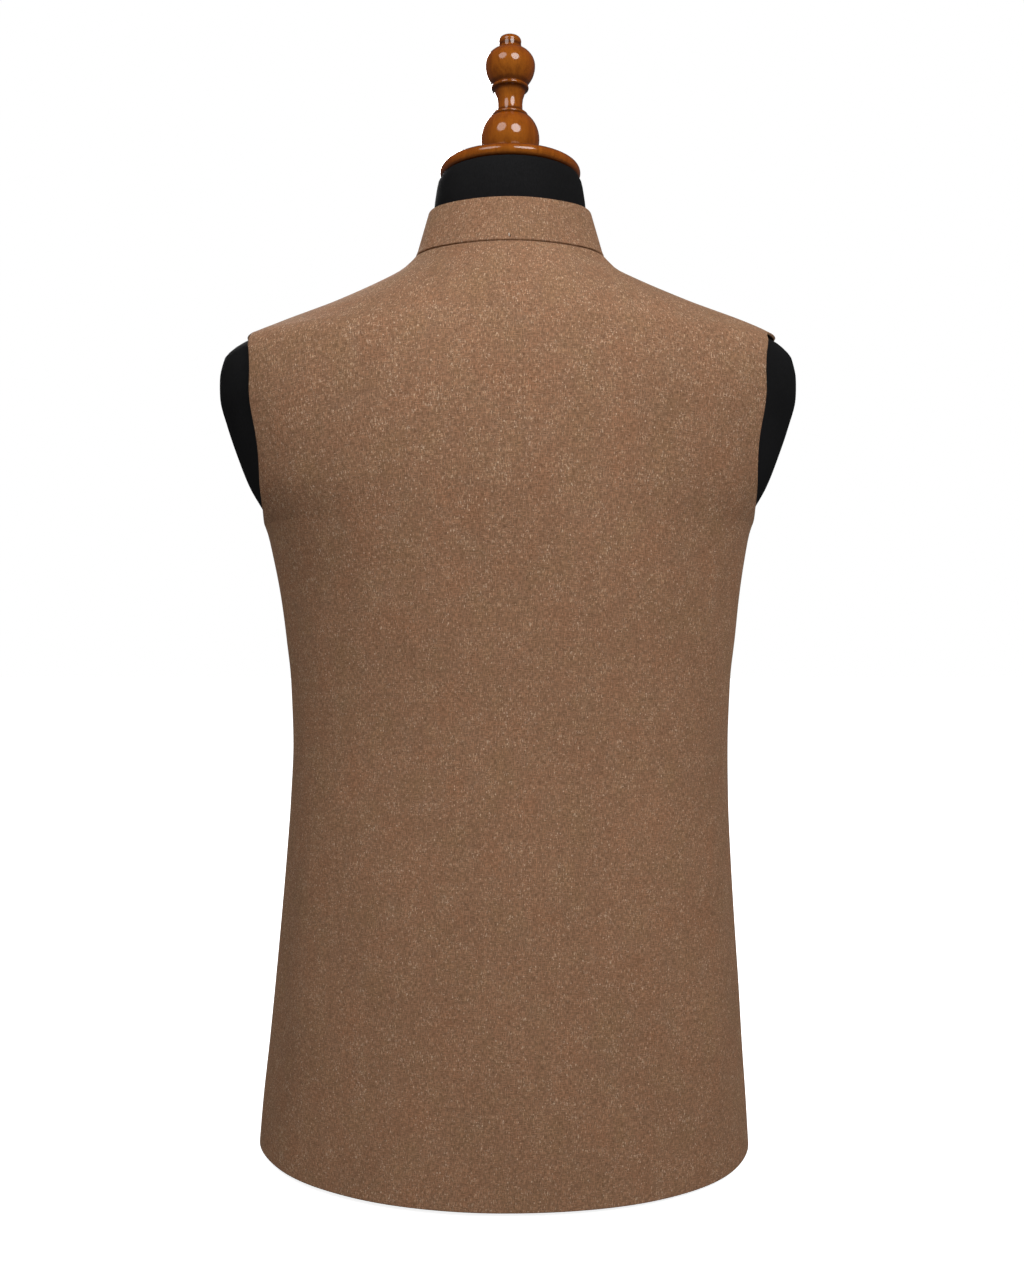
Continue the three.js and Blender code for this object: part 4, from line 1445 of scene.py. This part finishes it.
def slub_threads(finish, uv, size, level, seed):
    """A mask of short bright stretches of yarn, where a noise rises above a level."""
    peaks = finish.noise(uv, size, roughness=0.7, shift=(seed, 2 * seed, 0))
    return finish.ramp(finish.math("SUBTRACT", peaks, level), 0.0, SLUB_EDGE)


def spots(finish, uv, cell, share, small, large):
    """A mask of small spots: how many cells hold one, and their radius as shares of a cell."""
    inputs = {"Vector": finish.sized(uv, cell), "Scale": 1.0}
    cells = finish.node("ShaderNodeTexVoronoi", inputs, voronoi_dimensions="2D")
    random = finish.node("ShaderNodeSeparateColor", {0: cells.outputs["Color"]})
    held = finish.math("LESS_THAN", random.outputs[0], share)
    radius = finish.ramp(random.outputs[1], 0, 1, small, large)
    near = finish.math("SUBTRACT", 1.0, finish.math("DIVIDE", cells.outputs["Distance"], radius))
    return finish.math("MULTIPLY", held, finish.ramp(near, 0.0, SPOT_EDGE)), random.outputs[2]


print("a slub fades out over", SLUB_EDGE, "of its noise")


# %% [markdown]
# ## The flecked cloth
# Now the yarn, the dyes, the slubs and the spots are laid over one another. The slubs lie closer
# together on the collar and the upper back, and they come in loose crowds everywhere. The slubs
# stand out a little, and the pits sink in. The pits' dark colour is painted shade.

# %% Weave the cloth
CREAM, GOLD, PIT_SHADE = tint(0.74, 0.56, 0.40), tint(0.58, 0.38, 0.22), tint(0.075, 0.036, 0.019)
SLUB_SHOWS, PIT_SHADE_SHOWS = 0.6, 0.35
FLECK_HEIGHTS = (420, 640)  # slubs and grains lie closer from the lower to the higher one
SLUB_LEVELS, CROWDING, LYING_RARER = (0.607, 0.594), 0.03, 0.03
GRAIN_SHARES, PIT_SHARE = (0.03, 0.05), 0.2


def weave_cloth():
    cloth = Finish(
        "flecked_cloth", Roughness=0.92, Specular_IOR_Level=0.08,
        Sheen_Weight=0.05, Sheen_Roughness=0.4, Sheen_Tint=tint(0.95, 0.72, 0.52),
    )
    uv = cloth.node("ShaderNodeUVMap", {}, uv_map="weave").outputs[0]
    threads, shade = yarn_shade(cloth, uv)
    colour = dyed(cloth, uv, cloth.shaded(BROWN, shade))
    height = cloth.node("ShaderNodeSeparateXYZ", {0: cloth.millimetres()}).outputs[2]
    crowds = cloth.spread(cloth.noise(uv, (14, 17, 1), detail=1.0), CROWDING, -CROWDING)
    level = cloth.math("ADD", cloth.ramp(height, *FLECK_HEIGHTS, *SLUB_LEVELS), crowds)
    upright = slub_threads(cloth, uv, (0.75, 3.4, 1), level, 11.0)
    lying = slub_threads(cloth, uv, (2.4, 0.75, 1), cloth.math("ADD", level, LYING_RARER), 37.0)
    slubs = cloth.math("MAXIMUM", upright, lying)
    grain_share = cloth.ramp(height, *FLECK_HEIGHTS, *GRAIN_SHARES)
    grains, kind = spots(cloth, uv, (2.2, 3.4, 1), grain_share, 0.14, 0.25)
    pits, _ = spots(cloth, uv, (2.6, 3.0, 1), PIT_SHARE, 0.13, 0.24)
    slub_colour = cloth.colours(kind, GOLD, CREAM)
    # the pits' dark colour is painted shade; the slubs and grains are the yarn's own colour
    flecks = ((pits, PIT_SHADE_SHOWS, PIT_SHADE), (slubs, SLUB_SHOWS, slub_colour), (grains, SLUB_SHOWS, CREAM))
    for mask, shows, fleck in flecks:
        colour = cloth.colours(cloth.math("MULTIPLY", mask, shows), colour, fleck)
    cloth.colour(colour)
    relief = cloth.math("ADD", threads, cloth.math("MULTIPLY", slubs, 0.5))
    cloth.bump(cloth.math("SUBTRACT", relief, pits), depth_mm=0.2)
    return cloth.material


cloth_finish = weave_cloth()
print("cloth nodes:", len(cloth_finish.node_tree.nodes))


# %% [markdown]
# ## The black jersey
# The jersey is nearly black, and knitted so finely that only a soft upright grain shows. Upright
# noise stands for the knit's columns of loops, and a slight bump keeps it from looking like rubber.

# %% Knit the jersey
BLACK = tint(0.0064, 0.0063, 0.0068)


def knit_jersey():
    jersey = Finish("black_jersey", Roughness=0.9, Specular_IOR_Level=0.12)
    place = jersey.millimetres()
    wales = jersey.noise(place, (0.8, 0.8, 2.4))
    patches = jersey.noise(place, (40, 40, 60))
    fine, broad = jersey.spread(wales, 0.75, 1.25), jersey.spread(patches, 0.85, 1.15)
    jersey.colour(jersey.shaded(BLACK, jersey.math("MULTIPLY", fine, broad)))
    jersey.bump(wales, depth_mm=0.12)
    return jersey.material


jersey_finish = knit_jersey()
print("jersey nodes:", len(jersey_finish.node_tree.nodes))


# %% [markdown]
# ## The varnished wood
# The wood is an amber brown with its grain along the lathe's axis, under a glossy stained varnish.
# The shader's coat gives the highlights. Its tint makes light that passes it at a slant darker and
# redder, so the round parts get dark edges, as on real stained wood. We also paint shade into the
# grooves and the joints between the parts, by darkening those heights.

# %% Varnish the wood
PALE_WOOD, DARK_WOOD = tint(0.74, 0.56, 0.18), tint(0.3, 0.18, 0.034)
# the first colour here is painted shade for the grooves and joints, the second the wood's own pores
GROOVE_SHADE, PORE = tint(0.08, 0.03, 0.004), tint(0.12, 0.06, 0.01)
GROOVE_SHADE_SHOWS, PORES_SHOW = 0.8, 0.3
RING_WAVES = 34.0
GROOVES = (-CAP_THICK, 0, 8, 39.5, 44, 61.5, 66.3, 97.2)  # heights above the finial's foot
GROOVE_HALF, GROOVE_REACH = 0.4, 2.6


def shade_in_grooves(wood, place):
    """Where shade is painted: 1 in every groove, and 0 a few millimetres above and below it."""
    groove = 0.0
    height = wood.node("ShaderNodeSeparateXYZ", {0: place}).outputs[2]
    for groove_z in GROOVES:
        away = wood.math("ABSOLUTE", wood.math("SUBTRACT", height, finial_z + groove_z))
        groove = wood.math("MAXIMUM", groove, wood.ramp(away, GROOVE_HALF, GROOVE_REACH, 1.0, 0.0))
    return groove


def varnish_wood():
    wood = Finish(
        "varnished_wood", Specular_IOR_Level=0.15, Coat_Weight=1.0, Coat_Roughness=0.09, Coat_IOR=1.5,
        Coat_Tint=tint(0.5, 0.2, 0.05),
    )
    place = wood.millimetres()
    rings = wood.math("SINE", wood.math("MULTIPLY", wood.noise(place, (16, 16, 70)), RING_WAVES))
    fibres = wood.noise(place, (1.1, 1.1, 16), detail=3.0, roughness=0.6)
    share = wood.math("ADD", wood.ramp(rings, -1, 1, 0.15, 0.4), wood.spread(fibres, 0.1, 0.4))
    colour = wood.colours(share, DARK_WOOD, PALE_WOOD)
    # painted shade: the grooves and the joints are darkened
    groove_shade = wood.math("MULTIPLY", shade_in_grooves(wood, place), GROOVE_SHADE_SHOWS)
    colour = wood.colours(groove_shade, colour, GROOVE_SHADE)
    pores = wood.ramp(wood.noise(place, (0.5, 0.5, 5), detail=1.0), 0.66, 0.76)
    wood.colour(wood.colours(wood.math("MULTIPLY", pores, PORES_SHOW), colour, PORE))
    wood.give(wood.shader.inputs["Roughness"], wood.spread(fibres, 0.34, 0.46))
    wood.bump(fibres, depth_mm=0.04, strength=0.5)
    return wood.material


wood_finish = varnish_wood()
print("wood nodes:", len(wood_finish.node_tree.nodes))


# %% [markdown]
# ## The horn buttons
# Polished horn is dark brown with paler clouds and a few fine streaks. A thin coat gives its shine.

# %% Polish the horn
DARK_HORN, CLOUDY_HORN = tint(0.028, 0.014, 0.008), tint(0.13, 0.068, 0.036)
STREAKED_HORN = tint(0.2, 0.12, 0.07)


def polish_horn():
    horn = Finish("button_horn", Specular_IOR_Level=0.5, Coat_Weight=0.4, Coat_Roughness=0.12)
    place = horn.millimetres()
    clouds = horn.noise(place, (7, 7, 4), detail=4.0, roughness=0.6)
    streaks = horn.noise(place, (1.2, 5, 5))
    colour = horn.colours(horn.ramp(clouds, 0.35, 0.65), DARK_HORN, CLOUDY_HORN)
    horn.colour(horn.colours(horn.ramp(streaks, 0.6, 0.75, 0, 0.4), colour, STREAKED_HORN))
    horn.give(horn.shader.inputs["Roughness"], horn.spread(clouds, 0.24, 0.36))
    horn.bump(streaks, depth_mm=0.02, strength=0.4)
    return horn.material


horn_finish = polish_horn()
print("horn nodes:", len(horn_finish.node_tree.nodes))


# %% [markdown]
# ## The threads
# Thread is twisted, so its light and dark change every fraction of a millimetre. One function makes
# the brown thread of the buttons and buttonholes and the two colours of the tack.

# %% Dye the threads
TWIST = 0.4  # millimetres from one turn of the yarn to the next


def dye_thread(name, colour):
    spun = Finish(name, Roughness=0.75, Specular_IOR_Level=0.25)
    twist = spun.noise(spun.millimetres(), (TWIST, TWIST, TWIST))
    spun.colour(spun.shaded(colour, spun.spread(twist, 0.7, 1.3)))
    spun.bump(twist, depth_mm=0.08)
    return spun.material


brown_thread = dye_thread("brown_thread", tint(0.13, 0.072, 0.044))
pale_thread = dye_thread("pale_thread", tint(0.78, 0.74, 0.68))
dark_thread = dye_thread("dark_thread", tint(0.03, 0.017, 0.011))
print("thread nodes:", len(brown_thread.node_tree.nodes))


# %% [markdown]
# ## The floor's paint
# The floor is white with hardly any grain. It glows a little, so that no grey shows below the hem.

# %% Paint the floor
GRAIN = 60
paint = Finish(
    "pale_floor", Roughness=0.9, Specular_IOR_Level=0.0,
    Emission_Color=tint(1, 1, 1), Emission_Strength=0.86,
)
grain = paint.noise(paint.millimetres(), (GRAIN, GRAIN, GRAIN))
paint.colour(paint.shaded(tint(0.84, 0.84, 0.84), paint.spread(grain, 0.985, 1.0)))
print("floor nodes:", len(paint.material.node_tree.nodes))


# %% [markdown]
# ## Which piece wears which finish
# All four pieces of cloth share one material, so they look cut from one bolt, and so do the cap and
# the finial.

# %% Put the finishes on
horns, button_threads = zip(*buttons)
FINISHES = (
    (cloth_finish, (back, left_front, right_front, collar)),
    (jersey_finish, (form,)),
    (wood_finish, (neck_cap, finial)),
    (horn_finish, horns),
    (brown_thread, [*button_threads, *buttonholes]),
    (pale_thread, (pale_tack,)),
    (dark_thread, (dark_tack,)),
    (paint.material, (floor,)),
)
for material, pieces in FINISHES:
    for piece in pieces:
        piece.data.materials.append(material)
    print(material.name, "is on", ", ".join(piece.name for piece in pieces))


# %% [markdown]
# ## Each piece on the one body
# Every piece rides on the one body, and the solid that it was built on is hidden. The threads
# replace no solid: they are added to what they hold.

# %% Ride and hide the solids
STANDS_FOR = {
    "back": (back, "cloth"),
    "front_left": (left_front, "cloth"),
    "front_right": (right_front, "cloth"),
    "collar": (collar, "cloth"),
    "form_body": (form, "jersey"),
    "neck_cap": (neck_cap, "wood"),
    "finial": (finial, "wood"),
}
STANDS_FOR.update({f"button_{number}": (horn, "button") for number, horn in enumerate(horns, 1)})
for node, (piece, slot) in STANDS_FOR.items():
    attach(piece, "root")
    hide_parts(node)
sewing_pieces = [*button_threads, *buttonholes, pale_tack, dark_tack]
for piece in sewing_pieces:
    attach(piece, "root")
print(len(STANDS_FOR), "solids replaced,", len(sewing_pieces), "pieces of sewing added")
